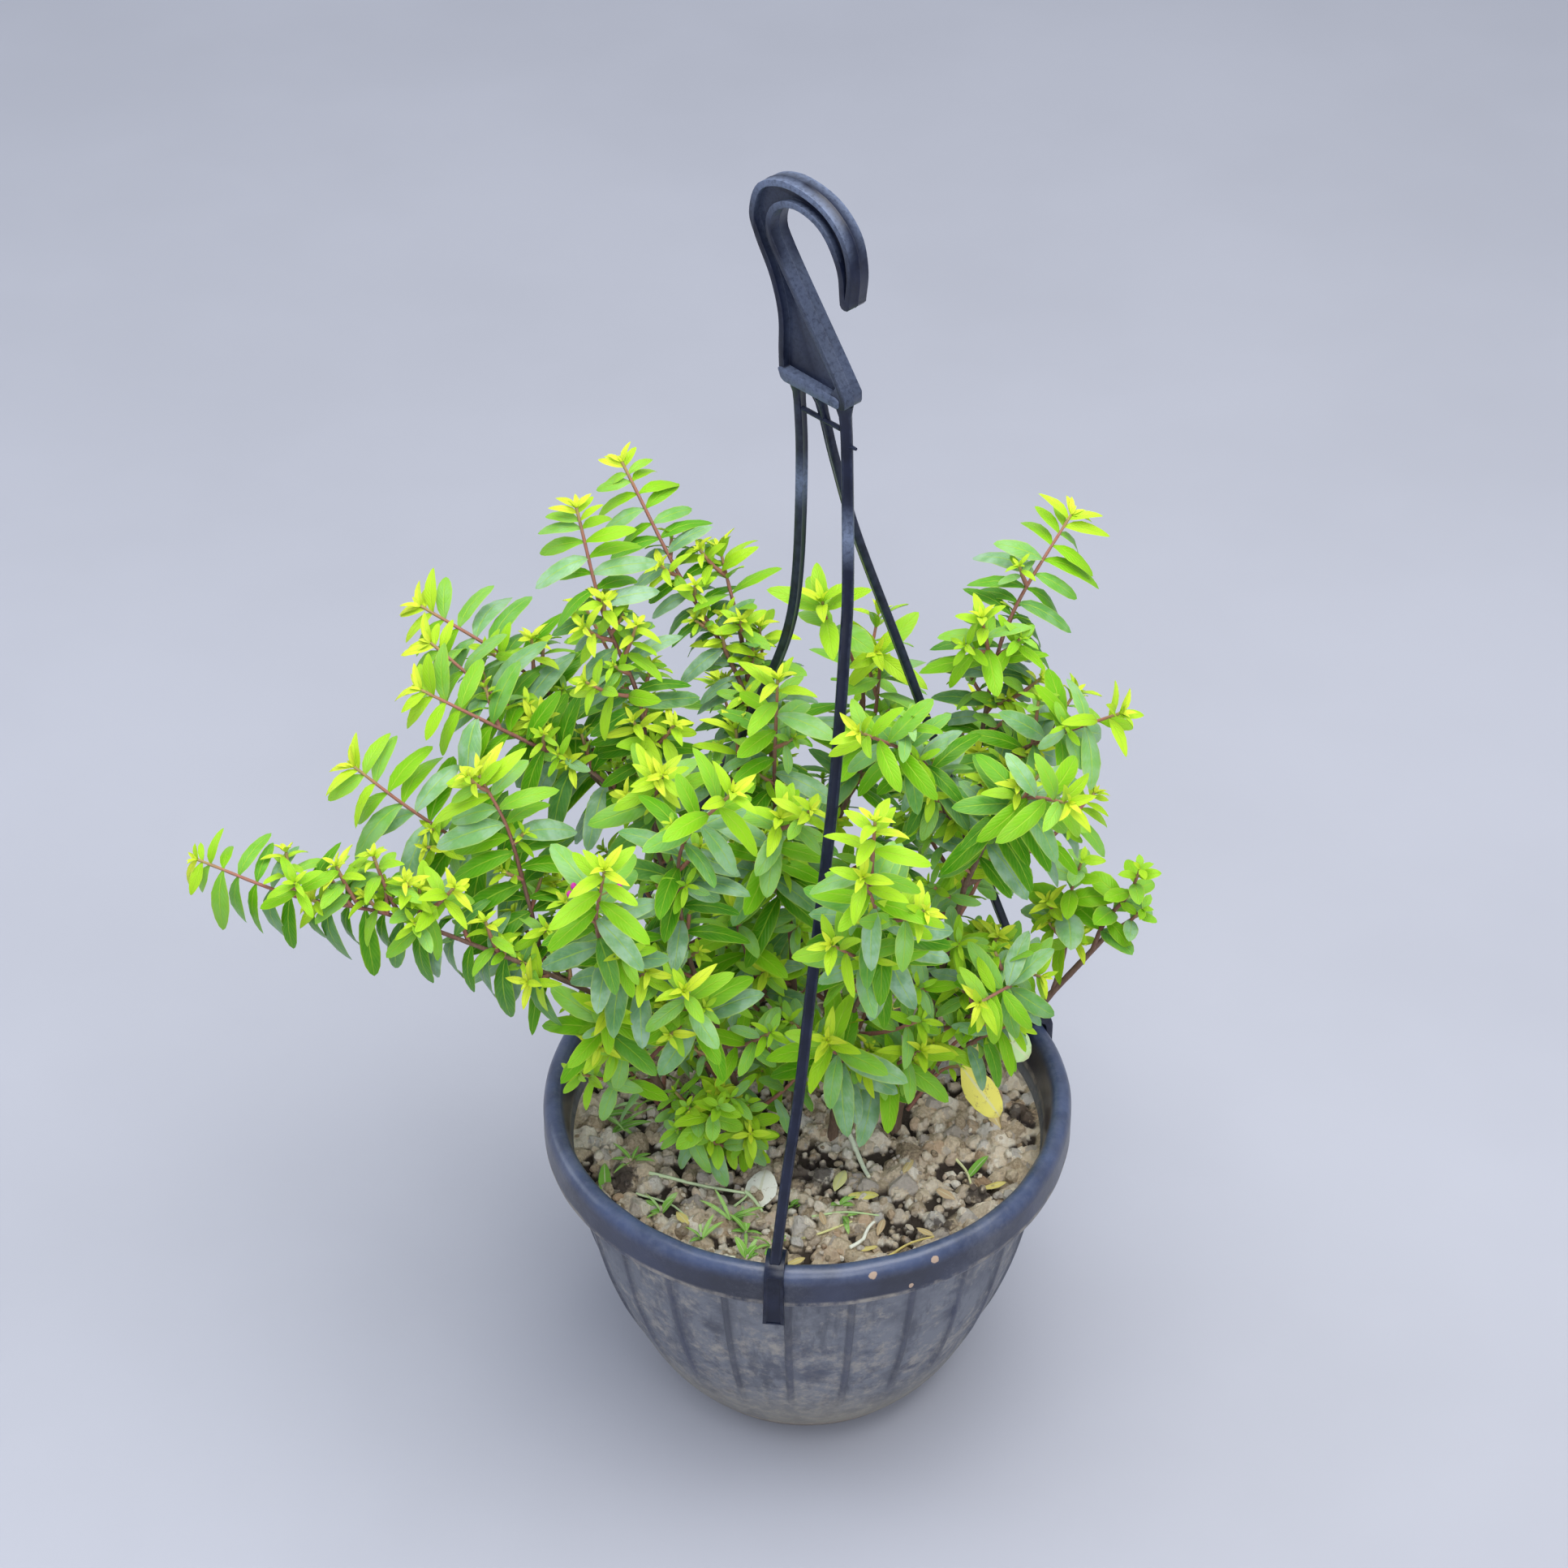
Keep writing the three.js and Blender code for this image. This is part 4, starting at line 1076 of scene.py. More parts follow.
@dataclass
class Pot:
    """The hanging pot: a ribbed bowl under a rolled rim band, with drain holes in its floor."""

    effects: SharedEffects
    finish: PotPlastic = PotPlastic()
    rib_count: int = 24
    rib_phase: float = math.radians(10.7)
    rib_height: float = 1.0
    rib_lines: tuple[float, ...] = (-1.55, -1.1, -0.5, 0.5, 1.1, 1.55)
    rib_lifts: tuple[float, ...] = (0.0, 0.7, 1.0, 1.0, 0.7, 0.0)
    rib_half: float = 1.7
    columns: int = 12
    drain_count: int = 5
    drain_radius: float = 4.0
    drain_circle: float = 26.0

    def build(self) -> Object:
        """Makes and dresses the pot."""
        piece = self._turn_profile()
        self._raise_ribs(piece)
        self._drill_drains(piece)
        self._mark(piece)
        smooth_shade(piece, 42)
        piece.data.materials.clear()
        piece.data.materials.append(self.finish.build(self.effects))
        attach(piece, BODY)
        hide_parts("pot")
        return piece

    @property
    def pitch(self) -> float:
        """The turn from one rib to the next."""
        return 2 * np.pi / self.rib_count

    def _profile(self) -> Array:
        """The wall's closed outline as (radius, height), from the middle of the foot round to the floor."""
        foot = [(0, 0), (14, 0), (28, 0)]
        under_band = [(93.8, 124.6), (94.8, 125.5), (96.4, 125.2), (97.6, 124.6), (98, 123.4), (98, 119),
                      (98, 116)]
        lip = [(98.15, 115.35), (98.7, 115.0), (99.4, 115.0), (99.9, 115.4), (100.05, 116.2), (100, 118),
               (100, 121)]
        crest = smooth_line([(100, 123.5), (99.9, 126.6), (98.9, 129.2), (97, 130.7), (95, 131), (93.2, 129.9),
                             (92.2, 127.4), (91.4, 122), (90.2, 116.4)], 0.9)
        floor = [(30, FLOOR_THICKNESS), (15, FLOOR_THICKNESS), (0, FLOOR_THICKNESS)]
        return np.vstack([foot, BOWL_OUTSIDE, under_band, lip, crest, bowl_inside(5), floor])

    def _turn_profile(self) -> Object:
        """Spins the outline into the plain pot, and returns it."""
        profile = self._profile()
        piece = modelled("hanging_pot", bpy.ops.mesh.primitive_circle_add, vertices=len(profile), radius=0.1,
                         fill_type="NOTHING")
        set_coords(piece, np.column_stack([profile[:, 0], np.zeros(len(profile)), profile[:, 1]]))
        with editing(piece):
            bpy.ops.mesh.spin(steps=self.rib_count * self.columns, angle=2 * math.pi, center=(0, 0, 0),
                              axis=(0, 0, 1))
            bpy.ops.mesh.select_all(action="SELECT")
            bpy.ops.mesh.remove_doubles(threshold=0.00002)
            bpy.ops.mesh.delete_loose(use_verts=True, use_edges=True, use_faces=False)
        face_outward(piece)
        return piece

    def _rib_strength(self, radius: Array, height: Array) -> Array:
        """How far the ribs stand out at a radius and a height: not on the foot, the band or the inside."""
        rise = np.clip((height - 24) / 26, 0, 1)
        fall = np.clip((122.5 - height) / 3, 0, 1)
        outside = np.abs(radius - np.interp(height, BOWL_OUTSIDE[:, 1], BOWL_OUTSIDE[:, 0])) < 1.3
        return rise * rise * (3 - 2 * rise) * fall * outside

    def _raise_ribs(self, piece: Object) -> None:
        """Draws the columns of vertices together at each rib, lifts them there and makes the band uneven."""
        x, y, height = coords(piece).T
        radius = np.hypot(x, y)
        step = self.pitch / self.columns
        column = np.rint(np.arctan2(y, x) % (2 * np.pi) / step).astype(int) % (self.rib_count * self.columns)
        rib, line = column // self.columns, column % self.columns
        lines = len(self.rib_lines)
        plain = [0] * (self.columns - lines)
        reach = np.maximum(radius, 40)
        spread = np.append(self.rib_lines, plain)[line] / reach
        last = self.rib_lines[-1] / reach
        gap = (line - lines + 1) / (self.columns - lines + 1)
        turn = self.rib_phase + rib * self.pitch
        turn += np.where(line < lines, spread, last + gap * (self.pitch - 2 * last))
        lift = self.rib_height * np.append(self.rib_lifts, plain)[line] * self._rib_strength(radius, height)
        wobble = 0.16 * np.sin(7 * turn + 1) + 0.1 * np.sin(19 * turn) * np.cos(11 * turn)
        radius = np.where(radius > 1, radius + lift + (height > 114.5) * wobble, radius)
        sway = 0.22 * np.sin(5 * turn + 2) + 0.12 * np.sin(23 * turn)
        height = height + np.where(height > 126, sway, 0)
        set_coords(piece, np.column_stack([radius * np.cos(turn), radius * np.sin(turn), height]))

    def _drill_drains(self, piece: Object) -> None:
        """Cuts the drain holes through the floor."""
        cutters = []
        for turn in np.arange(self.drain_count) * 2 * math.pi / self.drain_count:
            place = (self.drain_circle * MM * math.cos(turn), self.drain_circle * MM * math.sin(turn), 0)
            cutters.append(modelled("drain_cutter", bpy.ops.mesh.primitive_cylinder_add, vertices=32,
                                    radius=self.drain_radius * MM, depth=12 * MM, location=place))
        cut_out(piece, join(cutters, "drain_cutter"))

    def _mark(self, piece: Object) -> None:
        """Keeps where the ribs run and where edges stand out, for the finish."""
        x, y, height = coords(piece).T
        radius = np.hypot(x, y)
        turn = np.arctan2(y, x) - self.rib_phase
        off = np.abs((turn + self.pitch / 2) % self.pitch - self.pitch / 2) * radius
        rib = np.clip((self.rib_half - off) / 0.5, 0, 1) * self._rib_strength(radius, height)
        set_attribute(piece, "rib", rib)
        mark_edges(piece, height > SKIRT_BOTTOM - 1.5)


@dataclass
class Ground:
    """Finds how high the soil's surface lies."""

    piece: Object
    tree: BVHTree = field(init=False)

    def __post_init__(self) -> None:
        """Prepares the look-up."""
        places = [vert.co.copy() for vert in self.piece.data.vertices]
        self.tree = BVHTree.FromPolygons(places, faces_of(self.piece))

    def height(self, x: float, y: float) -> float:
        """The height in millimetres of the soil below a point."""
        hit = self.tree.ray_cast(Vector((x * MM, y * MM, 0.3)), Vector((0, 0, -1)))[0]
        return hit.z / MM if hit else SOIL_TOP


@dataclass
class Soil:
    """Lumpy potting mix: one fill of the bowl with a surface of crumbs and clods, and loose clods on top."""

    finish: PottingMix = PottingMix()
    radius: float = 89.1
    cells: int = 250
    base: float = 109.3
    clods: int = 1700
    loose: int = 520
    loose_reach: float = 84.0
    seed: int = 5

    def build(self) -> list[Object]:
        """Makes and dresses the fill and the loose clods."""
        material = self.finish.build()
        fill = self._fill()
        fill.data.materials.append(material)
        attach(fill, BODY)
        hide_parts("soil")
        clods = self._loose_clods(Ground(fill), material)
        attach(clods, BODY)
        return [fill, clods]

    def _relief(self, x: Array, y: Array) -> tuple[Array, Array]:
        """Works out the surface.

        Args:
            x: One coordinate of its points.
            y: The other.

        Returns:
            The height of each point, and a chance value for the clod that it belongs to.
        """
        random = np.random.default_rng(self.seed)
        rise = 1.3 * (np.sin(0.13 * x + 0.4) * np.cos(0.11 * y - 0.7) + 0.6 * np.sin(0.27 * x - 0.23 * y))
        height = rise - 2.0
        chance = np.full(len(x), 0.3)
        for radius in 1.3 + 5.2 * random.random(self.clods) ** 2.6:
            way = random.random() * 2 * math.pi
            out = (self.radius - 0.5 * radius) * math.sqrt(random.random())
            centre = (out * math.cos(way), out * math.sin(way))
            sides = random.integers(5, 8)
            turns = (np.arange(sides) + 0.75 * random.random(sides)) * 2 * math.pi / sides
            slopes, reaches = 0.7 + 1.5 * random.random(sides), 0.72 + 0.28 * random.random(sides)
            sunk, tone = 0.1 + 0.4 * random.random(), random.random()
            tilt = random.normal(0, 0.24, 2)
            near = np.flatnonzero((np.abs(x - centre[0]) < radius) & (np.abs(y - centre[1]) < radius))
            dx, dy = x[near] - centre[0], y[near] - centre[1]
            top = radius * (0.72 + 0.2 * random.random()) + tilt[0] * dx + tilt[1] * dy
            for turn, slope, reach in zip(turns, slopes, reaches):
                top = np.minimum(top, slope * (reach * radius - math.cos(turn) * dx - math.sin(turn) * dy))
            top += 1.3 * (np.sin(0.13 * centre[0] + 0.4) * np.cos(0.11 * centre[1] - 0.7)) - sunk * radius
            higher = (top > -sunk * radius - 1.0) & (top > height[near])
            height[near[higher]] = top[higher]
            chance[near[higher]] = tone
        return height, chance

    def _fill(self) -> Object:
        """The soil itself, closed down to the pot's floor."""
        piece = modelled("potting_mix", bpy.ops.mesh.primitive_grid_add, x_subdivisions=self.cells,
                         y_subdivisions=self.cells, size=2)
        square = coords(piece) * MM
        x = square[:, 0] * np.sqrt(1 - square[:, 1] ** 2 / 2) * self.radius
        y = square[:, 1] * np.sqrt(1 - square[:, 0] ** 2 / 2) * self.radius
        height, chance = self._relief(x, y)
        edge = np.clip((self.radius - np.hypot(x, y)) / 4, 0, 1)
        height = np.minimum(height, 4.0) * edge + (1 - edge) * 0.6
        rough = np.array([cloud_noise.noise((a * 0.7, b * 0.7, 3.0)) + 0.5 * cloud_noise.noise((a * 1.7, b * 1.7, 9.0))
                          for a, b in zip(x, y)])
        set_coords(piece, np.column_stack([x, y, self.base + height + 0.45 * rough * edge]))
        # The surface's height share, from which the potting mix paints shade into the hollows.
        lift = np.clip((height + 1.6) / 3.2, 0, 1)
        with editing(piece):
            self._close_below(piece)
        face_outward(piece)
        below = np.tile((0.3, 0.0, 0.4), (len(piece.data.vertices) - len(lift), 1))
        surface = np.column_stack([lift, np.zeros(len(lift)), chance])
        set_attribute(piece, "place", np.vstack([surface, below]))
        smooth_shade(piece, 34)
        return piece

    def _close_below(self, piece: Object) -> None:
        """Extrudes the edge of the surface, in edit mode, down the bowl and closes it on the floor."""
        select_where(piece, "VERT", lambda vert: vert.is_boundary)
        last_radius, last_height = self.radius, 0.0
        for radius, level in bowl_inside(9)[1:]:
            narrowed = (radius - WALL_GAP) / last_radius
            drop = (level - SKIRT_BOTTOM + 2.5) - last_height
            bpy.ops.mesh.extrude_edges_move(TRANSFORM_OT_translate={"value": (0, 0, drop * MM)})
            bpy.ops.transform.resize(value=(narrowed, narrowed, 1), center_override=(0, 0, 0))
            last_radius, last_height = radius - WALL_GAP, last_height + drop
        bpy.ops.mesh.extrude_edges_move(TRANSFORM_OT_translate={"value": (0, 0, 0)})
        bpy.ops.mesh.merge(type="CENTER")

    def _clod(self) -> tuple[Array, Faces]:
        """One angular loose clod about 1 mm in radius, modelled once."""
        random = np.random.default_rng(self.seed + 2)
        piece = modelled("clod", bpy.ops.mesh.primitive_ico_sphere_add, subdivisions=3, radius=1)
        apply_modifier(piece, "DECIMATE", ratio=0.3)
        ways = np.array([vert.co.normalized() for vert in piece.data.vertices])
        faces = faces_of(piece)
        bpy.data.objects.remove(piece)
        flats = random.normal(size=(11, 3))
        flats /= np.linalg.norm(flats, axis=1)[:, None]
        reach = (0.72 + 0.3 * random.random(11)) / np.maximum(ways @ flats.T, 0.05)
        places = ways * np.minimum(reach.min(axis=1), 1.25)[:, None]
        return places * (1.08, 0.9, 0.72), faces

    def _loose_clods(self, ground: Ground, material: Material) -> Object:
        """The loose clods, copies of one, each turned and sized by chance."""
        random = np.random.default_rng(self.seed + 1)
        shape, faces = self._clod()
        gathering = Gathering()
        for _ in range(self.loose):
            way, out = random.random() * 2 * math.pi, self.loose_reach * math.sqrt(random.random())
            x, y = out * math.cos(way), out * math.sin(way)
            size = 0.7 + 2.9 * random.random() ** 2.8
            axes = np.linalg.qr(random.normal(size=(3, 3)))[0]
            axes[:, 0] *= np.sign(np.linalg.det(axes))
            centre = np.array((x, y, ground.height(x, y) + 0.25 * size))
            gathering.add(centre + size * shape @ axes.T, faces, place=(0.9, 0.0, random.random()))
        piece = gathering.piece("loose_clods", material)
        smooth_shade(piece, 24)
        return piece


# Leaves


class Habit(Enum):
    """How the leaves stand about a shoot."""

    WHORL = "whorl"
    FEATHER = "feather"
    FRINGE = "fringe"
    ROSETTE = "rosette"
    STARVED = "starved"
    LUSH = "lush"


@dataclass(frozen=True)
class Stance:
    """The stance of the leaves on a shoot of one habit.

    The angles from the shoot are in radians: of the youngest full pair, what each older pair adds, and the widest.
    The rest are shares: how far the leaves turn to the light, how far they hang, their width for their length, how
    close the youngest pairs stand, and how much more than others the leaves curl down.
    """

    closed: float
    opening: float
    widest: float
    to_light: float
    hang: float
    width: float
    closeness: float = 0.26
    curl: float = 1.0


STANCES = {
    Habit.WHORL: Stance(0.62, 0.16, 1.25, 0.3, 0.0, 0.35),
    Habit.FEATHER: Stance(0.66, 0.13, 1.2, 0.7, 0.08, 0.37, curl=1.5),
    Habit.FRINGE: Stance(0.8, 0.13, 1.45, 0.7, 0.55, 0.35, curl=1.5),
    Habit.ROSETTE: Stance(0.98, 0.09, 1.3, 0.35, 0.0, 0.37),
    Habit.STARVED: Stance(0.9, 0.07, 1.2, 0.55, 0.0, 0.56, 0.75),
    Habit.LUSH: Stance(0.95, 0.07, 1.3, 0.5, 0.0, 0.5),
}


@dataclass
class Leaf:
    """Where one leaf grows, which way it points and how it is shaped, in millimetres."""

    root: Array
    along: Array
    face: Array
    length: float
    width: float
    droop: float
    fold: float
    age: float
    chance: float
    twist: float = 0.0
    wave: float = 0.0

    def point(self, share: float) -> Array:
        """A point of the midrib at a share of its length."""
        return self.root + self.length * share * (self.along - self.droop * share * self.face)


@dataclass
class LeafPattern:
    """A narrow oval leaf, modelled once: a thin lens whose two faces share their margin."""

    rows: tuple[float, ...] = (0.0, 0.1, 0.24, 0.44, 0.66, 0.85, 0.955, 1.0)
    young: tuple[float, ...] = (0.2, 0.5, 0.83, 1.0, 0.86, 0.48, 0.18, 0.0)
    grown: tuple[float, ...] = (0.13, 0.4, 0.76, 1.0, 0.97, 0.73, 0.4, 0.0)
    columns: int = 4
    thickness: float = 0.38
    across: Array = field(init=False)
    along: Array = field(init=False)
    deep: Array = field(init=False)
    faces: Faces = field(init=False)
    sides: list[int] = field(init=False)

    def __post_init__(self) -> None:
        """Models the pattern with its margin closed."""
        piece = modelled("leaf", bpy.ops.mesh.primitive_grid_add, x_subdivisions=self.columns,
                         y_subdivisions=len(self.rows) - 1, size=2)
        square = coords(piece) * MM
        row = np.rint((square[:, 1] + 1) / 2 * (len(self.rows) - 1)).astype(int)
        width = np.array(self.young)[row]
        flat = np.column_stack([square[:, 0] * width, np.array(self.rows)[row], np.zeros(len(row))])
        set_coords(piece, flat / MM)
        with editing(piece):
            bpy.ops.mesh.duplicate()
            bpy.ops.mesh.flip_normals()
            mesh = bmesh.from_edit_mesh(piece.data)
            for vert in mesh.verts:
                if vert.select and not vert.is_boundary:
                    vert.co.z = -1
            bmesh.update_edit_mesh(piece.data)
            bpy.ops.mesh.select_all(action="SELECT")
            bpy.ops.mesh.remove_doubles(threshold=0.001)
        places = coords(piece) * MM
        self.along, self.deep = places[:, 1], places[:, 2]
        self.across = places[:, 0] / np.maximum(np.interp(self.along, self.rows, self.young), 0.01)
        self.faces = faces_of(piece)
        self.sides = [LeafSide.UNDER.value if any(self.deep[k] < -0.5 for k in face) else LeafSide.UPPER.value
                      for face in self.faces]
        bpy.data.objects.remove(piece)

    def add_to(self, gathering: Gathering, leaf: Leaf, surface: int | None = None) -> None:
        """Lays the pattern along a leaf and adds it to a gathering.

        Args:
            gathering: The gathering.
            leaf: The leaf.
            surface: The number of its material, where its two sides don't have one each.
        """
        half = leaf.width / 2
        ripe = min(1.0, 2.2 * leaf.age)
        width = (1 - ripe) * np.interp(self.along, self.rows, self.young)
        width = width + ripe * np.interp(self.along, self.rows, self.grown)
        out = self.across * width * half
        cupped = leaf.fold * np.abs(out) - 0.42 * ripe * out * out / max(half, 0.1)
        hanging = leaf.droop * leaf.length * (0.65 * self.along ** 2 + 0.35 * self.along ** 3)
        waved = leaf.wave * half * np.sin(8 * self.along + 6 * leaf.chance) * self.across * width
        thick = self.deep * self.thickness * (1 - 0.55 * np.abs(self.across))
        lift = cupped - hanging + waved + thick
        turn = leaf.twist * self.along
        corners = (leaf.root + np.outer(self.along * leaf.length, leaf.along)
                   + np.outer(out * np.cos(turn) - lift * np.sin(turn) * 0.5, np.cross(leaf.along, leaf.face))
                   + np.outer(lift * np.cos(turn) + out * np.sin(turn), leaf.face))
        place = np.column_stack([self.along, self.across, np.full(len(self.along), leaf.chance)])
        gathering.add(corners, self.faces, self.sides if surface is None else surface, place, leaf.age)


# The litter on the soil


@dataclass(frozen=True)
class Fallen:
    """One fallen leaf: its middle, the way it points, its tilt, length, width and age."""

    middle: tuple[float, float]
    turn: float
    tilt: float
    length: float
    width: float
    age: float


FALLEN = (
    Fallen((-17.6, -35.0), 76, 36, 16.5, 13, 0.56), Fallen((-18.8, -15.5), 96, 58, 15, 7.8, 0.55),
    Fallen((12.2, -28.8), 68, 24, 9.5, 5.2, 0.68), Fallen((21.2, -36.6), -4, 12, 11.5, 4.8, 0.76),
    Fallen((27.4, -55.4), 75, 14, 8, 3, 1.0), Fallen((71.5, 4.7), 120, 30, 11, 4.5, 0.95),
    Fallen((22.8, -66.1), 10, 14, 7, 2.8, 0.9), Fallen((64.5, -20.2), 50, 22, 12, 4.6, 0.12),
    Fallen((-75.8, -30.1), 95, 25, 14, 5, 0.1), Fallen((44, -58), -35, 8, 8, 3.2, 0.97),
    Fallen((52, -38), 140, 6, 9, 3.6, 1.0), Fallen((-4, -72), 30, 9, 8, 3.4, 0.93),
    Fallen((-46, -52), -60, 12, 9, 3.8, 0.9), Fallen((70, -32), 15, 16, 10, 3.6, 0.88),
    Fallen((66, 46), 80, 14, 12, 4.8, 0.75), Fallen((-60, 40), 40, 14, 12, 5, 0.85),
    Fallen((-22, 66), 130, 14, 11, 4.4, 0.92), Fallen((34, 70), 10, 14, 12, 4.6, 0.8),
    Fallen((6, -52), -75, 5, 7, 2.6, 1.0), Fallen((38, -24), 65, 9, 8, 3.2, 0.96),
)

# Straws: the route over the soil, the radius and the age.
STRAWS = (
    (((6.4, 18), (15.4, -4), (23.4, -26.6)), 1.2, 0.5), (((-5.6, -60.8), (6, -57), (16.9, -51.2)), 0.55, 0.66),
    (((-59.2, -25.6), (-43, -31), (-22.8, -35.7)), 0.75, 0.42),
    (((-22.8, -35.7), (-19.5, -40), (-16.5, -45.7)), 0.75, 0.4),
    (((-26.9, -42.9), (-21, -35), (-16.5, -25.2)), 0.5, 0.36), (((30, -70), (38, -64), (47, -61)), 0.5, 0.9),
    (((56, -14), (60, -22), (62, -33)), 0.6, 0.62), (((-40, -66), (-34, -70), (-26, -72)), 0.5, 0.5),
    (((-8, 64), (4, 70), (16, 72)), 0.5, 0.62), (((-64, -34), (-52, -40), (-44, -50)), 0.5, 0.4),
    (((16, -66), (21, -62), (22.4, -57), (25, -53)), 0.8, 0.55), (((2, -50), (14, -48), (27, -50)), 0.45, 0.36),
)

# Weeds: the place on the soil, the number of blades and their length.
WEEDS = (
    (-28.2, -51.6, 7, 13), (-13, -64.3, 6, 10), (-38.6, -60.2, 6, 10), (13.9, -49.1, 7, 8), (-34.2, 15.4, 6, 13),
    (-38.1, -16.5, 7, 12), (-70.4, 24.4, 6, 14), (-74, -5.6, 5, 19), (-78.0, 5.7, 4, 20), (-22, -72, 6, 9),
    (-54, -44, 6, 9), (-6, -40, 5, 8), (40, 56, 5, 13), (-30, 60, 5, 13), (4, 76, 4, 10), (-22.5, -56, 7, 11),
    (12, -44, 6, 7), (-66, -20, 6, 12),
)


@dataclass
class Litter:
    """Fallen leaves, straws and small weeds on the soil."""

    ground: Ground
    pattern: LeafPattern
    material: Material
    straw_sides: int = 8
    weeds_reach: float = 82.0

    def build(self) -> list[Object]:
        """Makes and dresses the litter."""
        pieces = [self._fallen(), self._straws(), self._weeds()]
        for piece in pieces:
            smooth_shade(piece, 60)
            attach(piece, BODY)
        return pieces

    def _fallen(self) -> Object:
        """The fallen leaves."""
        gathering = Gathering()
        for i, fallen in enumerate(FALLEN):
            turn, tilt = math.radians(fallen.turn), math.radians(fallen.tilt)
            along = np.array((math.cos(turn) * math.cos(tilt), math.sin(turn) * math.cos(tilt), math.sin(tilt)))
            face = square_to(UP + 0.25 * np.array((noise(i) - 0.5, noise(i + 9) - 0.5, 0)), along)
            x, y = fallen.middle
            high = max(self.ground.height(x + a, y + b) for a in (-3, 0, 3) for b in (-3, 0, 3))
            root = np.array((x, y, high + 0.5)) - along * fallen.length / 2
            leaf = Leaf(root, along, face, fallen.length, fallen.width, droop=0.12, fold=0.3, age=fallen.age,
                        chance=noise(i * 3.1), twist=0.3, wave=0.12)
            self.pattern.add_to(gathering, leaf, 0)
        return gathering.piece("fallen_leaves", self.material)

    def _straws(self) -> Object:
        """The straws, which lie over the clods."""
        gathering = Gathering()
        for i, (route, radius, age) in enumerate(STRAWS):
            line = smooth_line(route, 3)
            heights = np.array([self.ground.height(x, y) for x, y in line])
            heights = np.array([max(heights[max(0, k - 2):k + 3]) for k in range(len(heights))])
            heights = np.convolve(np.pad(heights, 2, mode="edge"), np.ones(5) / 5, "valid")
            points = np.column_stack([line, heights + 0.6 * radius])
            section = round_section(lambda share, r=radius: r * (1 - 0.3 * share), self.straw_sides)
            corners, faces = swept(points, section, UP)
            share = np.repeat(np.linspace(0, 1, len(points)), self.straw_sides)
            place = np.column_stack([share * 0.6, np.full(len(share), 0.9), np.full(len(share), noise(i))])
            gathering.add(corners, faces, 0, place, age)
        return gathering.piece("straws", self.material)

    def _weeds(self) -> Object:
        """Small tufts of grass and seedlings."""
        gathering = Gathering()
        for i, (x, y, blades, length) in enumerate(WEEDS):
            root = np.array((x, y, self.ground.height(x, y) - 0.6))
            for k in range(blades):
                chance = noise(i * 17 + k * 3 + 2)
                turn = 2 * math.pi * noise(i * 5.1 + k * 2.3)
                lean = 0.3 + 0.95 * noise(i * 11 + k)
                out = np.array((math.cos(turn), math.sin(turn), 0))
                if math.hypot(x + length * out[0], y + length * out[1]) > self.weeds_reach:
                    out = -out
                along = unit(UP * math.cos(lean) + out * math.sin(lean))
                size, width = length * (0.5 + 0.6 * chance), 1.1 + 2.4 * noise(k + i) ** 2
                leaf = Leaf(root, along, square_to(UP - 0.2 * out, along), size, width, droop=0.45, fold=0.35,
                            age=0.04 + 0.28 * chance, chance=chance)
                self.pattern.add_to(gathering, leaf, 0)
        return gathering.piece("small_weeds", self.material)


# The hanger


HUB_HEIGHT = 443.0
HOOK_TURN = -math.pi / 4
HOOK_FOOT = ((-10.9, 4.6), (-10.2, 1.6), (-8, 0), (-3, 0), (5, 0), (12, 0), (18, 0), (19.6, 0.6), (20, 1.8),
             (19.9, 5))
HOOK_RISE = ((17.2, 8.7), (14.1, 13), (9.6, 19), (3.6, 27), (-2.4, 35), (-7, 41.2))
HOOK_THROAT = ((16.9, 40.5), (15.2, 52), (7.8, 62.5), (-3.3, 65.8), (-12.3, 62), (-14.8, 54), (-11, 46.8))
HOOK_TIP = ((17.0, 39.4), (17.7, 38.4), (19, 38.0), (20.3, 38.3))
HOOK_BACK = ((-11.1, 11), (-11.3, 24), (-15.1, 36.7), (-22, 49), (-24.7, 57.5), (-20.4, 69), (-7.7, 74.2),
             (8.2, 71.9), (18.6, 63.4), (22.1, 51.5), (21.2, 39.5))
HOOK_LEDGE = ((-11.2, 4.0), (-9.9, 0.7), (-8.2, -0.3), (16.2, -0.3), (17.2, 0.5), (17.2, 2.9), (16.0, 3.7),
              (-9.8, 4.7))

# Straps: the azimuth of the clip, the route from the hub, and the height of a scuffed spot, if there is one.
STRAPS = {
    "hanger_strap_front": (-96.6, ((11.3, -11.3, 442.5), (12.2, -13, 425), (12.9, -22.5, 379), (12, -29.5, 357),
                                   (8.5, -47, 308), (1.4, -72, 244), (-2.7, -83, 204), (-7, -91, 172),
                                   (-11.2, -97, 134)), 396.0),
    "hanger_strap_right": (24.8, ((2.8, -3.9, 442.2), (5.2, -2.6, 430), (8.6, -0.8, 413), (16.1, 3.1, 381),
                                  (32.1, 11.4, 327), (41.7, 16.4, 294), (65, 28.3, 215), (84.5, 38.6, 150),
                                  (88, 40.7, 134)), 0.0),
    "hanger_strap_back": (143.0, ((-3.9, 4, 442.6), (-2.8, 5, 412), (-4, 9, 363), (-7.7, 13, 333),
                                  (-17, 21.5, 300), (-34, 35.5, 250), (-55, 48, 200), (-71, 55.5, 158),
                                  (-77.5, 58.4, 134)), 402.0),
}


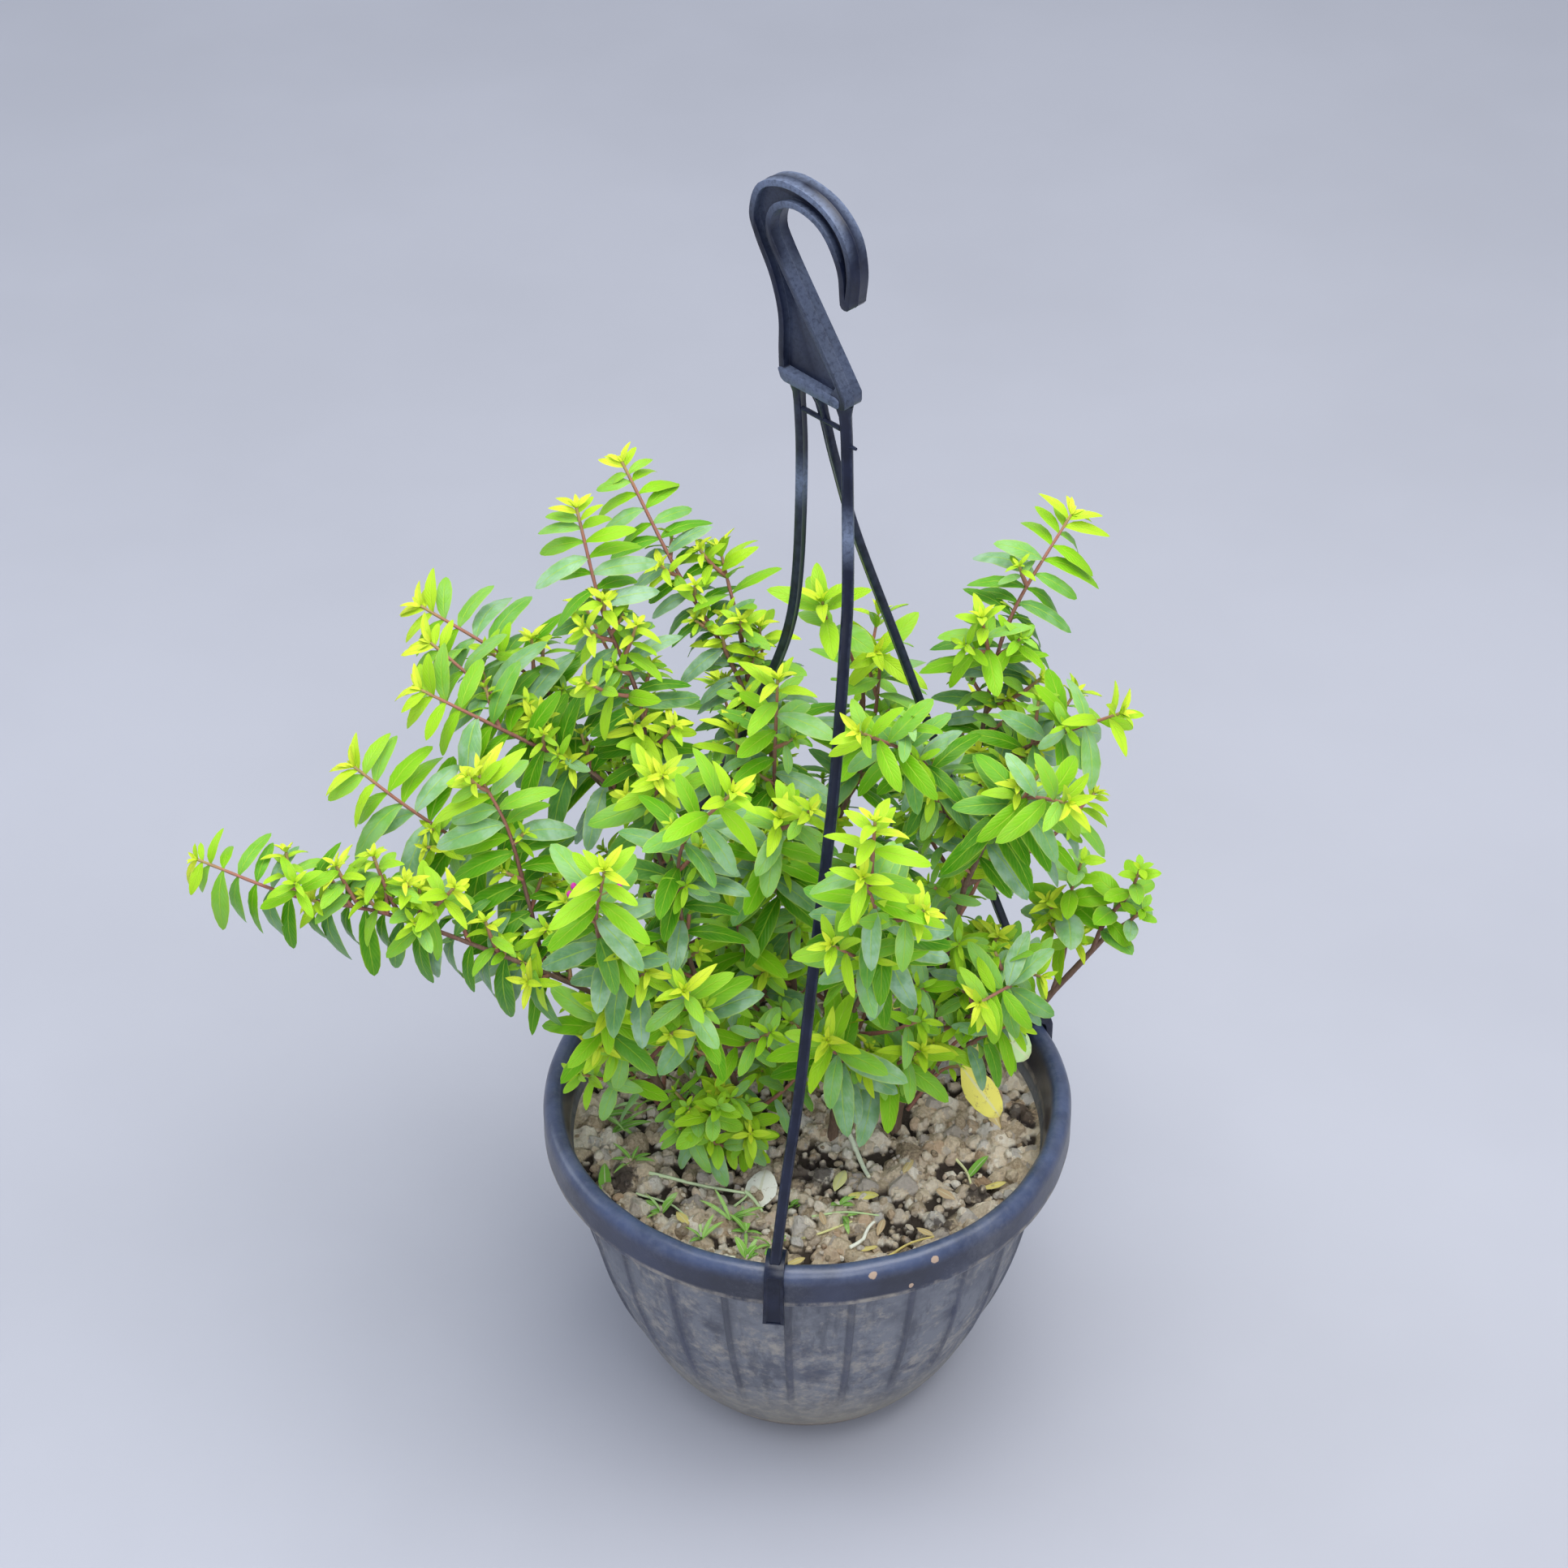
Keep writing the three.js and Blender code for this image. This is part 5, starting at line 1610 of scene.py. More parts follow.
@dataclass
class Hook:
    """The flat hook: an I section with broad rounded rims, a parting line and a ledge along its foot, with painted
    highlights on its crown, its sloping rim and the ledge.
    """

    width: float = 8.0
    flange: float = 2.3
    web: float = 2.5
    edge: float = 0.75
    ledge_edge: float = 0.45
    parting: float = 0.3
    parting_rise: float = 0.16

    def build(self) -> Object:
        """Makes the hook in its place."""
        throat, back = smooth_line(HOOK_THROAT, 2.2)[::-1], smooth_line(HOOK_BACK, 2.2)[::-1]
        outline = [*HOOK_FOOT, *HOOK_RISE, *map(tuple, throat), *HOOK_TIP, *map(tuple, back)]
        piece = slab("hanger_hook_blade", outline, self.width)
        depth = (self.width - self.web) / 2
        pocket = drawn_in(outline, self.flange)
        for way in (-1, 1):
            cut_out(piece, slab("pocket_cutter", pocket, depth + 1, way * (self.width / 2 + 0.5 - depth / 2)))
        round_edges(piece, self.edge, 3, 50)
        self._part(piece)
        # The attribute rubbed holds the hook's painted highlights and a little rubbing in its pocket.
        set_attribute(piece, "rubbed", self._rubbed_and_highlit(*coords(piece).T))
        ledge = slab("hook_ledge", list(HOOK_LEDGE), self.width + 1.0)
        round_edges(ledge, self.ledge_edge, 2, 30)
        # Painted highlight: the whole ledge is lightened through the attribute rubbed.
        set_attribute(ledge, "rubbed", np.full(len(ledge.data.vertices), 0.5))
        mark_edges(piece)
        mark_edges(ledge)
        whole = join([piece, ledge], "hanger_hook_blade")
        set_coords(whole, turned_about_axis(coords(whole), HOOK_TURN) + (0, 0, HUB_HEIGHT))
        return whole

    @staticmethod
    def _rubbed_and_highlit(across: Array, deep: Array, height: Array) -> Array:
        """How much each vertex is lightened: a little rubbing in the pocket, a painted highlight along the sloping
        rim, and the strongest painted highlight on the crown.
        """
        pocket = (np.abs(deep) < 3.4) * np.clip((height - 8) / 6, 0, 1) * (across < -4)
        # Painted highlight on the crown.
        crown = np.clip((height - 54) / 16, 0, 1) * (np.abs(deep) > 2.5)
        off_rise = (across - HOOK_FOOT[-1][0]) * 0.803 + (height - HOOK_FOOT[-1][1]) * 0.596
        # Painted highlight along the lit flank of the sloping rim.
        rise = (np.abs(off_rise) < 2.8) * (height < 45)
        return np.maximum.reduce((0.16 * pocket, 0.7 * crown, 0.26 * rise))

    def _part(self, piece: Object) -> None:
        """Raises the parting line round the middle of the hook's edges."""
        with editing(piece):
            for level in (-self.parting, 0, self.parting):
                bpy.ops.mesh.select_all(action="SELECT")
                bpy.ops.mesh.bisect(plane_co=(0, level * MM, 0), plane_no=(0, 1, 0))
            select_where(piece, "VERT", lambda vert: abs(vert.co.y) < 0.05 * MM)
            bpy.ops.transform.shrink_fatten(value=self.parting_rise * MM)


@dataclass
class Strap:
    """One strap: a thin bar from the hook down to a clip that grips the rim."""

    name: str
    azimuth: float
    route: tuple[Point, ...]
    scuffed: float
    width: float = 4.0
    depth: float = 3.0
    clip_width: float = 7.0
    clip_thickness: float = 2.6
    gap: float = 0.3

    def build(self) -> Object:
        """Makes the strap with its clip, and the crossbar on the right one or the stub on the front one."""
        parts = [self._band(), self._clip()]
        if self.name == "hanger_strap_right":
            parts.append(self._rod("strap_crossbar", (-3.6, 0, -10.5), (14.2, 0, -10.5), (0.95, 0.95)))
        if self.name == "hanger_strap_front":
            parts.append(self._rod("strap_stub", (17.6, 0, -15.6), (21.9, -0.5, -14.8), (1.0, 0.55)))
        for part in parts:
            if "rubbed" not in part.data.attributes:
                set_attribute(part, "rubbed", np.zeros(len(part.data.vertices)))
            mark_edges(part)
        return join(parts, self.name)

    def _band(self) -> Object:
        """The bar itself, a little deeper where it meets the hook."""
        turn = math.radians(self.azimuth)

        def section(share: float) -> Array:
            """The bar's corners, rounded, with a shallow hollow between two raised edges."""
            flare = 1 + 0.5 * max(0, 1 - share / 0.02) ** 2
            half, deep = self.width / 2 * flare, self.depth / 2 * flare
            quarter = [(half, deep - 0.7), (half - 0.25, deep - 0.2), (half - 0.7, deep), (0.9, deep - 0.12)]
            top = quarter + [(-x, y) for x, y in reversed(quarter)]
            return np.array(top + [(-x, -y) for x, y in top])

        across = np.array((-math.sin(turn), math.cos(turn), 0))
        corners, faces = swept(smooth_line(self.route, 4), section, across)
        piece = made("strap_band", corners, faces)
        face_outward(piece)
        scuff = np.clip(1 - np.abs(coords(piece)[:, 2] - self.scuffed) / 12, 0, 1)
        set_attribute(piece, "rubbed", 0.75 * scuff)
        return piece

    def _clip(self) -> Object:
        """The clip over the rim: a bent tab with a shallow channel down its outside."""
        top, outer, inner = RIM_TOP + self.gap, RIM_RADIUS + self.gap, CREST_RADIUS - 6.8
        skin = outer + self.clip_thickness
        outline = [
            (inner, RIM_TOP - 9), (inner + 1.8, RIM_TOP - 9), (CREST_RADIUS - 3.8, top - 3.4),
            (CREST_RADIUS - 2.6, top - 1.1), (CREST_RADIUS - 0.9, top + 0.1), (CREST_RADIUS + 1.2, top + 0.2),
            (CREST_RADIUS + 2.8, top), (outer - 0.5, top - 1.6), (outer, top - 3.6), (outer, 118), (outer, 108),
            (outer + self.clip_thickness * 0.75, 107.8), (skin, 108.6), (skin, 118), (skin, RIM_TOP - 2),
            (skin - 0.8, RIM_TOP + 1), (outer - 0.2, RIM_TOP + 3.3), (CREST_RADIUS + 2, RIM_TOP + 4.5),
            (CREST_RADIUS - 1.4, RIM_TOP + 4.7), (CREST_RADIUS - 4, RIM_TOP + 4), (inner + 0.6, RIM_TOP + 2),
            (inner, RIM_TOP - 1),
        ]
        piece = slab("strap_clip", outline, self.clip_width)
        with editing(piece):
            select_where(piece, "FACE",
                         lambda face: face.normal.x > 0.6 and face.calc_center_median().x > (outer + 1) * MM)
            bpy.ops.mesh.inset(thickness=1.0 * MM)
            bpy.ops.mesh.inset(thickness=0.4 * MM, depth=-0.45 * MM)
        places = coords(piece)
        places[:, 1] *= 1 + 0.14 * np.clip((116 - places[:, 2]) / 8, 0, 1) * (places[:, 0] > 99)
        set_coords(piece, places)
        round_edges(piece, 0.4, 2, 38)
        set_coords(piece, turned_about_axis(coords(piece), math.radians(self.azimuth)))
        return piece

    @staticmethod
    def _rod(name: str, start: Point, end: Point, radii: tuple[float, float]) -> Object:
        """Makes a short round bar.

        Args:
            name: Its name.
            start: One end, from the hub in the hook's own plane.
            end: The other end.
            radii: Its radius at each end.

        Returns:
            The bar.
        """
        ends = turned_about_axis(np.array((start, end), float), HOOK_TURN) + (0, 0, HUB_HEIGHT)
        line = ends[0] + np.linspace(0, 1, 6)[:, None] * (ends[1] - ends[0])
        section = round_section(lambda share: radii[0] + share * (radii[1] - radii[0]), 10)
        piece = made(name, *swept(line, section, np.array((0.7, 0.7, 0))))
        face_outward(piece)
        return piece


@dataclass
class Hanger:
    """The clip-on hanger: the hook and its three straps."""

    effects: SharedEffects
    finish: HangerPlastic = HangerPlastic()

    def build(self) -> list[Object]:
        """Makes and dresses the hanger."""
        material = self.finish.build(self.effects)
        pieces = {"hanger_hook": Hook().build()}
        for name, (azimuth, route, scuffed) in STRAPS.items():
            pieces[name] = Strap(name, azimuth, route, scuffed).build()
        for node, piece in pieces.items():
            piece.name = f"{node}_moulding"
            smooth_shade(piece, 35)
            piece.data.materials.clear()
            piece.data.materials.append(material)
            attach(piece, BODY)
            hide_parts(node)
        return list(pieces.values())


# The bush


@dataclass(frozen=True)
class Shoot:
    """A leafy shoot: its line from what carries it, the length that bears leaves, and where side rosettes stand.

    The age is that of its youngest leaves, the ageing is how much older each pair is than a pair on a strong shoot
    would be, and the leaf size is a share of the full one. The seed sets its chance values.
    """

    path: tuple[Point, ...]
    leafy: float
    habit: Habit = Habit.WHORL
    twigs: tuple[float, ...] = ()
    age: float = 0.0
    ageing: float = 1.0
    leaf_size: float = 1.0
    seed: float = 0.0


@dataclass(frozen=True)
class Turned:
    """One leaf that has turned yellow or tan on its stem: its root, its tip, its width and its age."""

    root: Point
    tip: Point
    width: float
    age: float


@dataclass(frozen=True)
class StemPlan:
    """One stem: its foot on the soil, the line of its wood, its shoots, and the share of the wood that is bare.

    It may bear turned leaves, and buds, each given by the foot of its stalk and its middle.
    """

    name: str
    foot: tuple[float, float]
    wood: tuple[Point, ...]
    shoots: tuple[Shoot, ...]
    bare: float = 0.1
    turned: tuple[Turned, ...] = ()
    buds: tuple[tuple[Point, Point], ...] = ()


WHORL, FEATHER, FRINGE, STARVED, LUSH = Habit.WHORL, Habit.FEATHER, Habit.FRINGE, Habit.STARVED, Habit.LUSH

STEMS = (
    StemPlan("left_back", (-20, 34), ((-21, 34, 150), (-23, 32, 205), (-22, 32, 240)), (
        Shoot(((-22, 32, 240), (-20, 31, 278), (-29, 40, 303), (-47, 55, 329), (-67, 70, 367)), 112,
              FEATHER, (0.3,), 0.0, 1.0, 0.76),
        Shoot(((-20, 31, 278), (-24, 46, 304), (-32, 62, 334)), 52, WHORL, (0.5,)),
        Shoot(((-23, 32, 205), (-14, 44, 250), (-18, 52, 308)), 76, WHORL, (0.35,)),
        Shoot(((-21, 34, 150), (-44, 62, 200), (-66, 84, 250), (-84, 96, 286)), 100, WHORL, (0.6,)))),
    StemPlan("left", (-38, 14), ((-42, 14, 150), (-49, 12, 205), (-55, 8, 242)), (
        Shoot(((-55, 8, 242), (-57, 6, 268), (-60, 10, 306), (-72, 20, 335), (-81, 30, 374)), 112,
              FEATHER, (0.45,), 0.0, 1.0, 0.76),
        Shoot(((-55, 8, 242), (-54, -8, 272), (-53, -22, 296)), 40, WHORL, (0.5,)),
        Shoot(((-49, 12, 205), (-62, 24, 240), (-88, 40, 277), (-110, 50, 295), (-141, 60, 311)), 92, FEATHER,
              (0.4,)),
        Shoot(((-55, 8, 242), (-76, 10, 272), (-100, 10, 287), (-137, 10, 310)), 90, FEATHER, (0.35,)),
        Shoot(((-62, 24, 240), (-90, 26, 274), (-114, 32, 292), (-136, 40, 309)), 66, FEATHER, (0.5,)))),
    StemPlan("left_low", (-46, -8), ((-52, -14, 135), (-63, -23, 175), (-74, -30, 201)), (
        Shoot(((-74, -30, 201), (-84, -36, 213), (-110, -45, 235), (-147, -50, 257), (-178, -55, 269),
               (-209, -60, 289)), 132, FRINGE, (0.5, 0.78), 0.02, 1.3, 1.0),
        Shoot(((-74, -30, 201), (-93, -29, 216), (-99, -30, 246), (-105, -30, 279), (-114, -30, 303)),
              92, FEATHER, (0.3,)),
        Shoot(((-63, -23, 175), (-84, -6, 222), (-117, -5, 247), (-141, -10, 272), (-160, -10, 291)),
              84, FEATHER, (0.4,)),
        Shoot(((-63, -23, 175), (-72, -44, 198), (-70, -60, 222)), 44, WHORL, (0.5,)))),
    StemPlan("front_left", (-20, -14), ((-22, -18, 120), (-26, -22, 150), (-34, -30, 190)), (
        Shoot(((-34, -30, 190), (-56, -50, 222), (-72, -68, 262), (-68, -88, 308)), 100, WHORL, (0.4,)),
        Shoot(((-34, -30, 190), (-43, -40, 235), (-44, -48, 284), (-26, -60, 319)), 96, WHORL, (0.35,)),
        Shoot(((-34, -30, 190), (-40, -52, 212), (-43, -68, 238)), 44, WHORL, (0.5,)),
        Shoot(((-22, -18, 122), (-34, -28, 138), (-44, -38, 156)), 34, LUSH, (0.5,), 0.3, 0.2, 0.54),
        Shoot(((-22, -18, 122), (-30, -32, 131), (-36, -42, 143)), 34, LUSH, (0.5,), 0.26, 0.2, 0.5),
        Shoot(((-22, -18, 120), (-21, -27, 134), (-22, -32, 153)), 34, LUSH, (0.5,), 0.3, 0.2, 0.48),
        Shoot(((-24, -20, 130), (-36, -36, 146), (-32, -46, 164)), 30, LUSH, (0.5,), 0.28, 0.2, 0.6)),
        0.1, (), (((-69.8, -80, 290), (-79, -80, 294.3)), ((-69.8, -79.5, 288.5), (-80.5, -80, 290.8)),
                  ((-69.6, -80.4, 291), (-63.7, -80, 294)))),
    StemPlan("centre", (-4, 14), ((-5, 12, 150), (-6, 8, 210)), (
        Shoot(((-6, 8, 210), (-12, 5, 262), (-11, 2, 321)), 88, WHORL, (0.35,)),
        Shoot(((-6, 8, 210), (-22, 4, 250), (-26, 12, 292)), 66, WHORL),
        Shoot(((-6, 8, 210), (-14, -14, 248), (-10, -34, 288)), 72, WHORL, (0.4,)),
        Shoot(((-5, 12, 150), (-20, -2, 190), (-26, -14, 230)), 60, WHORL, (0.5,)))),
    StemPlan("front", (10, -4), ((12, -12, 140), (17, -28, 195)), (
        Shoot(((17, -28, 195), (25, -56, 245), (23, -88, 290), (18, -106, 320)), 110, WHORL, (0.5,)),
        Shoot(((25, -56, 245), (20, -80, 262), (8, -94, 281)), 34, WHORL),
        Shoot(((12, -12, 140), (13, -40, 180), (7, -62, 210)), 50, WHORL, (0.5,)),
        Shoot(((12, -12, 140), (28, -28, 165), (41, -40, 186)), 44, WHORL, (0.6,))),
        0.42, (Turned((20.4, -22, 213.6), (21.7, -24, 201), 4.6, 1.0),)),
    StemPlan("right_front", (34, 2), ((38, -4, 140), (48, -12, 195), (56, -18, 245)), (
        Shoot(((56, -18, 245), (64, -38, 286), (73, -60, 317), (86, -80, 331)), 92, WHORL, (0.5,),
              leaf_size=0.94),
        Shoot(((56, -18, 245), (46, -16, 285), (38, -26, 308), (17, -48, 336)), 84, WHORL, (0.35,),
              leaf_size=0.86),
        Shoot(((38, -4, 140), (60, -20, 186), (72, -44, 220), (60, -70, 235)), 80, FEATHER, (0.4,), 0.0, 0.9,
              0.76),
        Shoot(((48, -12, 195), (70, -16, 205), (84, -28, 211)), 36, FEATHER, (0.4,), 0.1, 1.0, 0.7),
        Shoot(((38, -4, 140), (60, -20, 172), (75, -38, 198)), 40, FEATHER, (), 0.14, 1.0, 0.66),
        Shoot(((56, -18, 245), (84, -14, 262), (101, -10, 281)), 40, FEATHER, (0.5,), 0.1, 0.9, 0.7),
        Shoot(((38, -2, 122), (50, 4, 136), (58, 2, 141)), 12, STARVED, (), 0.3, 0.5, 0.45),
        Shoot(((38, -2, 122), (56, 14, 142), (71, 16, 147.5)), 14, STARVED, (), 0.3, 0.5, 0.5)),
        0.42, (Turned((58.3, 2, 140.6), (73.1, -8, 124.2), 12, 0.8),
               Turned((72.3, 16, 147.1), (84.1, 10, 137.8), 13, 0.36))),
    StemPlan("right_back", (46, 34), ((50, 34, 150), (56, 32, 210), (60, 30, 250)), (
        Shoot(((60, 30, 250), (66, 35, 300), (74, 46, 322), (93, 60, 352)), 96, FEATHER, (0.3,), 0.0, 1.0,
              0.84),
        Shoot(((66, 35, 300), (61, 30, 328)), 28, WHORL),
        Shoot(((60, 30, 250), (74, 14, 280), (90, 0, 300), (108, -10, 316)), 78, WHORL, (0.35,)),
        Shoot(((56, 32, 210), (78, 50, 240), (98, 66, 268)), 66, WHORL, (0.4,)))),
    StemPlan("twig", (62, 30), ((70, 31, 122), (85, 31, 141), (113, 26, 187)), (
        Shoot(((107, 27, 177), (111, 25, 193), (119, 23, 208), (122, 18, 224)), 44, STARVED, (),
              0.28, 0.5, 0.68),
        Shoot(((113, 26, 187), (120, 22, 196), (124, 18, 205)), 13, STARVED, (), 0.4, 0.5, 0.62),
        Shoot(((93, 30, 153), (97, 29, 176), (97, 28, 199), (101, 25, 222)), 34, STARVED, (), 0.3, 0.5, 0.8))),
    StemPlan("back", (8, 46), ((8, 52, 150), (8, 58, 205)), (
        Shoot(((8, 58, 205), (20, 61, 262), (15, 62, 289), (7, 60, 304), (4.6, 57, 316)), 16, WHORL, (), 0.12,
              0.6, 1.3),
        Shoot(((8, 58, 205), (22, 54, 252), (26, 62, 284), (24.4, 52, 297)), 72, WHORL, (0.4,), 0.0, 0.7, 1.12),
        Shoot(((8, 58, 205), (18, 84, 240), (26, 108, 274)), 72, WHORL),
        Shoot(((8, 52, 150), (-16, 80, 195), (-34, 104, 244)), 90, WHORL, (0.55,)),
        Shoot(((8, 52, 150), (40, 78, 195), (64, 96, 240)), 90, WHORL, (0.55,)))),
)


# Pixels of the photograph where side rosettes show. Each grows from the nearest shoot that carries one there.
ROSETTES_SEEN = (
    (929, 807), (1290, 1110), (1330, 1150), (825, 1275), (650, 1210), (740, 1290), (1060, 1310), (885, 1350),
    (384, 1109), (414, 1067), (451, 1105), (499, 1086), (560, 1093), (598, 1135), (525, 1044), (460, 1055),
    (655, 787), (665, 887), (575, 956), (701, 940), (744, 739), (719, 773), (784, 770), (721, 840), (671, 885),
    (780, 888), (831, 893), (817, 955), (814, 697), (890, 784), (862, 759), (862, 677), (1240, 860), (1282, 836),
    (1206, 926), (1216, 964), (1182, 1002), (1254, 967), (1078, 1012), (1027, 1015), (999, 998), (1185, 1071),
    (1140, 1122), (1292, 1136), (1230, 1153),
)

LIGHT = unit(np.array((0.0, -0.6, 0.8)))

# The numbers of a stem's materials after those of the two sides of its leaves.
BARK, DRY, BUD = 2, 3, 4


@dataclass
class Room:
    """The room that is taken: round spots, found again through cells of space."""

    cell: float = 7.0
    spots: dict[tuple[int, int, int], list[tuple[Array, float]]] = field(default_factory=dict)

    def _key(self, point: Array) -> tuple[int, int, int]:
        """The cell that a point lies in."""
        return tuple(int(math.floor(part / self.cell)) for part in point)

    def take(self, point: Array, radius: float) -> None:
        """Takes a round spot."""
        self.spots.setdefault(self._key(point), []).append((point, radius))

    def is_free(self, point: Array, radius: float) -> bool:
        """Whether a round spot overlaps none that is taken."""
        x, y, z = self._key(point)
        for key in ((x + i, y + j, z + k) for i in (-1, 0, 1) for j in (-1, 0, 1) for k in (-1, 0, 1)):
            for other, reach in self.spots.get(key, ()):
                gap = point - other
                if gap @ gap < (radius + reach) ** 2:
                    return False
        return True


@dataclass(frozen=True)
class SideGrowth:
    """How side shoots grow along what carries them.

    It holds their spacing, the share of the carrier where they end, and how steeply they rise. Their length, the
    age of their youngest leaves and their leaf size are each a least value and what chance adds to it.
    """

    spacing: float
    last: float
    rise: float
    length: tuple[float, float]
    age: tuple[float, float]
    leaf_size: tuple[float, float]
    ageing: float


ON_SHOOTS = SideGrowth(14.0, 0.82, 0.8, (6, 9), (0.04, 0.3), (0.5, 0.3), 0.8)
ON_WOOD = SideGrowth(8.5, 0.98, 0.5, (14, 22), (0.2, 0.16), (0.5, 0.28), 0.35)


@dataclass
class Bush:
    """The false heather: ten stems, each one piece of wood, shoots and leaves in opposite pairs."""

    pattern: LeafPattern
    small_pattern: LeafPattern
    camera: Camera
    dry: Material
    leaf_length: float = 19.6
    small_leaf: float = 7.0
    pair_spacing: float = 6.8
    twig_length: float = 14.0
    longest_seen_twig: float = 55.0
    least_carrier: float = 27.0
    wood_radius: float = 2.1
    shoot_radius: float = 0.98
    twig_radius: float = 0.85
    tip_radius: float = 0.48
    touching: tuple[float, ...] = (0.45, 0.7, 0.95)
    room: Room = field(default_factory=Room)
    hard: Room = field(default_factory=lambda: Room(9.0))

    def build(self) -> list[Object]:
        """Makes and dresses every stem."""
        materials = [LeafSkin(side).build() for side in LeafSide]
        materials += [StemBark().build(), self.dry, BudSkin().build()]
        for _, route, _ in STRAPS.values():
            for point in smooth_line(route, 2):
                self.hard.take(point, 2.3)
        mains = [self._main_shoots(plan, index) for index, plan in enumerate(STEMS)]
        seen = self._seen_twigs(mains)
        grown = [self._all_shoots(plan, index, mains[index] + seen[index]) for index, plan in enumerate(STEMS)]
        for shoot in (shoot for shoots in grown for shoot in shoots):
            for point in smooth_line(shoot.path, 3)[2:]:
                self.hard.take(point, 0.4)
        pieces = []
        for plan, shoots in zip(STEMS, grown):
            node = f"heather_stem_{plan.name}"
            piece = self._stem(plan, shoots).piece(f"{node}_leafy", *materials)
            smooth_shade(piece, 60)
            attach(piece, BODY)
            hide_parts(node)
            pieces.append(piece)
        return pieces

    def _stem(self, plan: StemPlan, shoots: list[Shoot]) -> Gathering:
        """The wood of a stem with its shoots, leaves and buds, gathered."""
        gathering = Gathering()
        self._wood(gathering, plan)
        for shoot in shoots:
            self._rod(gathering, shoot)
            for leaf in self._leaves(shoot):
                pattern = self.pattern if leaf.length > self.small_leaf else self.small_pattern
                pattern.add_to(gathering, leaf)
        self._add_turned(gathering, plan)
        self._add_buds(gathering, plan)
        return gathering

    def _main_shoots(self, plan: StemPlan, index: int) -> list[Shoot]:
        """The stem's own shoots and the side rosettes that its plan marks on them."""
        shoots = []
        for i, shoot in enumerate(plan.shoots):
            main = replace(shoot, seed=index * 10 + i + 1)
            shoots.append(main)
            for k, share in enumerate(shoot.twigs):
                angle = (main.seed + k * 3) * GOLDEN_ANGLE
                shoots.append(self._twig(main, share, angle, self.twig_length, 0.9, leaf_size=0.75,
                                         seed=main.seed * 7 + k))
        return shoots

    def _seen_twigs(self, mains: list[list[Shoot]]) -> list[list[Shoot]]:
        """Places side rosettes where the photograph shows them.

        Args:
            mains: The shoots of each stem.

        Returns:
            The rosettes of each stem, each on the shoot that passes nearest to its line of sight.
        """
        eye = np.array(self.camera.place)
        lines = [(index, smooth_line(shoot.path, 1.5)) for index, shoots in enumerate(mains) for shoot in shoots]
        lines += [(index, smooth_line(self._wood_line(plan), 1.5)) for index, plan in enumerate(STEMS)]
        twigs: list[list[Shoot]] = [[] for _ in mains]
        for k, pixel in enumerate(ROSETTES_SEEN):
            ray = self.camera.ray(pixel)
            least = math.inf
            for index, line in lines:
                run = (line - eye) @ ray
                off = np.linalg.norm(line - eye - run[:, None] * ray, axis=1)
                cost = off + 0.1 * run
                nearest = int(np.argmin(cost))
                if cost[nearest] < least:
                    least, found = cost[nearest], (index, line, nearest, run[nearest], off[nearest])
            index, line, nearest, run, off = found
            tip = eye + (run - min(9.0, 4 + 0.3 * off)) * ray
            start = line[max(2, nearest - int(4 + 0.35 * off))]
            length = float(np.linalg.norm(tip - start))
            middle = start + 0.55 * (tip - start) - 0.08 * length * UP
            if length < self.longest_seen_twig:
                path = (tuple(start), tuple(middle), tuple(tip))
                twigs[index].append(Shoot(path, min(0.9 * length, 26.0), Habit.ROSETTE, ageing=0.75,
                                          leaf_size=0.62 + 0.2 * noise(k * 3.3), seed=300 + k * 7))
        return twigs

    @staticmethod
    def _wood_line(plan: StemPlan) -> tuple[Point, ...]:
        """The line of a stem's wood from the soil up."""
        return (*plan.foot, SOIL_TOP + 3), *plan.wood

    def _all_shoots(self, plan: StemPlan, index: int, shoots: list[Shoot]) -> list[Shoot]:
        """Adds side shoots all along a stem's shoots, and low ones on its wood.

        Args:
            plan: The stem's plan.
            index: Its number.
            shoots: Its shoots so far.

        Returns:
            All its shoots.
        """
        if plan.name == "twig":
            return shoots
        carriers = [shoot for shoot in shoots if shoot.leafy > self.least_carrier]
        added = [twig for shoot in carriers for twig in self._side_twigs(shoot, ON_SHOOTS, 0.08)]
        wood = Shoot(self._wood_line(plan), 0, seed=index * 10 + 9)
        return shoots + added + self._side_twigs(wood, ON_WOOD, plan.bare)

    @staticmethod
    def _twig(carrier: Shoot, share: float, angle: float, length: float, rise: float, **growth: float) -> Shoot:
        """A short side shoot.

        Args:
            carrier: What carries it.
            share: Where it leaves its carrier, as a share of it.
            angle: The way it points, about the vertical.
            length: Its length.
            rise: How steeply it rises.
            growth: More of the shoot's own values.

        Returns:
            The side shoot.
        """
        points = smooth_line(carrier.path, 1)
        place = round(share * (len(points) - 1))
        ahead, start = headings(points)[place], points[place]
        out = np.array((math.cos(angle), math.sin(angle), rise))
        out = unit(out - 0.7 * float(out @ ahead) * ahead)
        out = unit(out + 0.55 * ahead)
        middle, end = start + 0.5 * length * out, start + length * out + 0.13 * length * UP
        return Shoot((tuple(start), tuple(middle), tuple(end)), length * 0.85, Habit.ROSETTE, **growth)

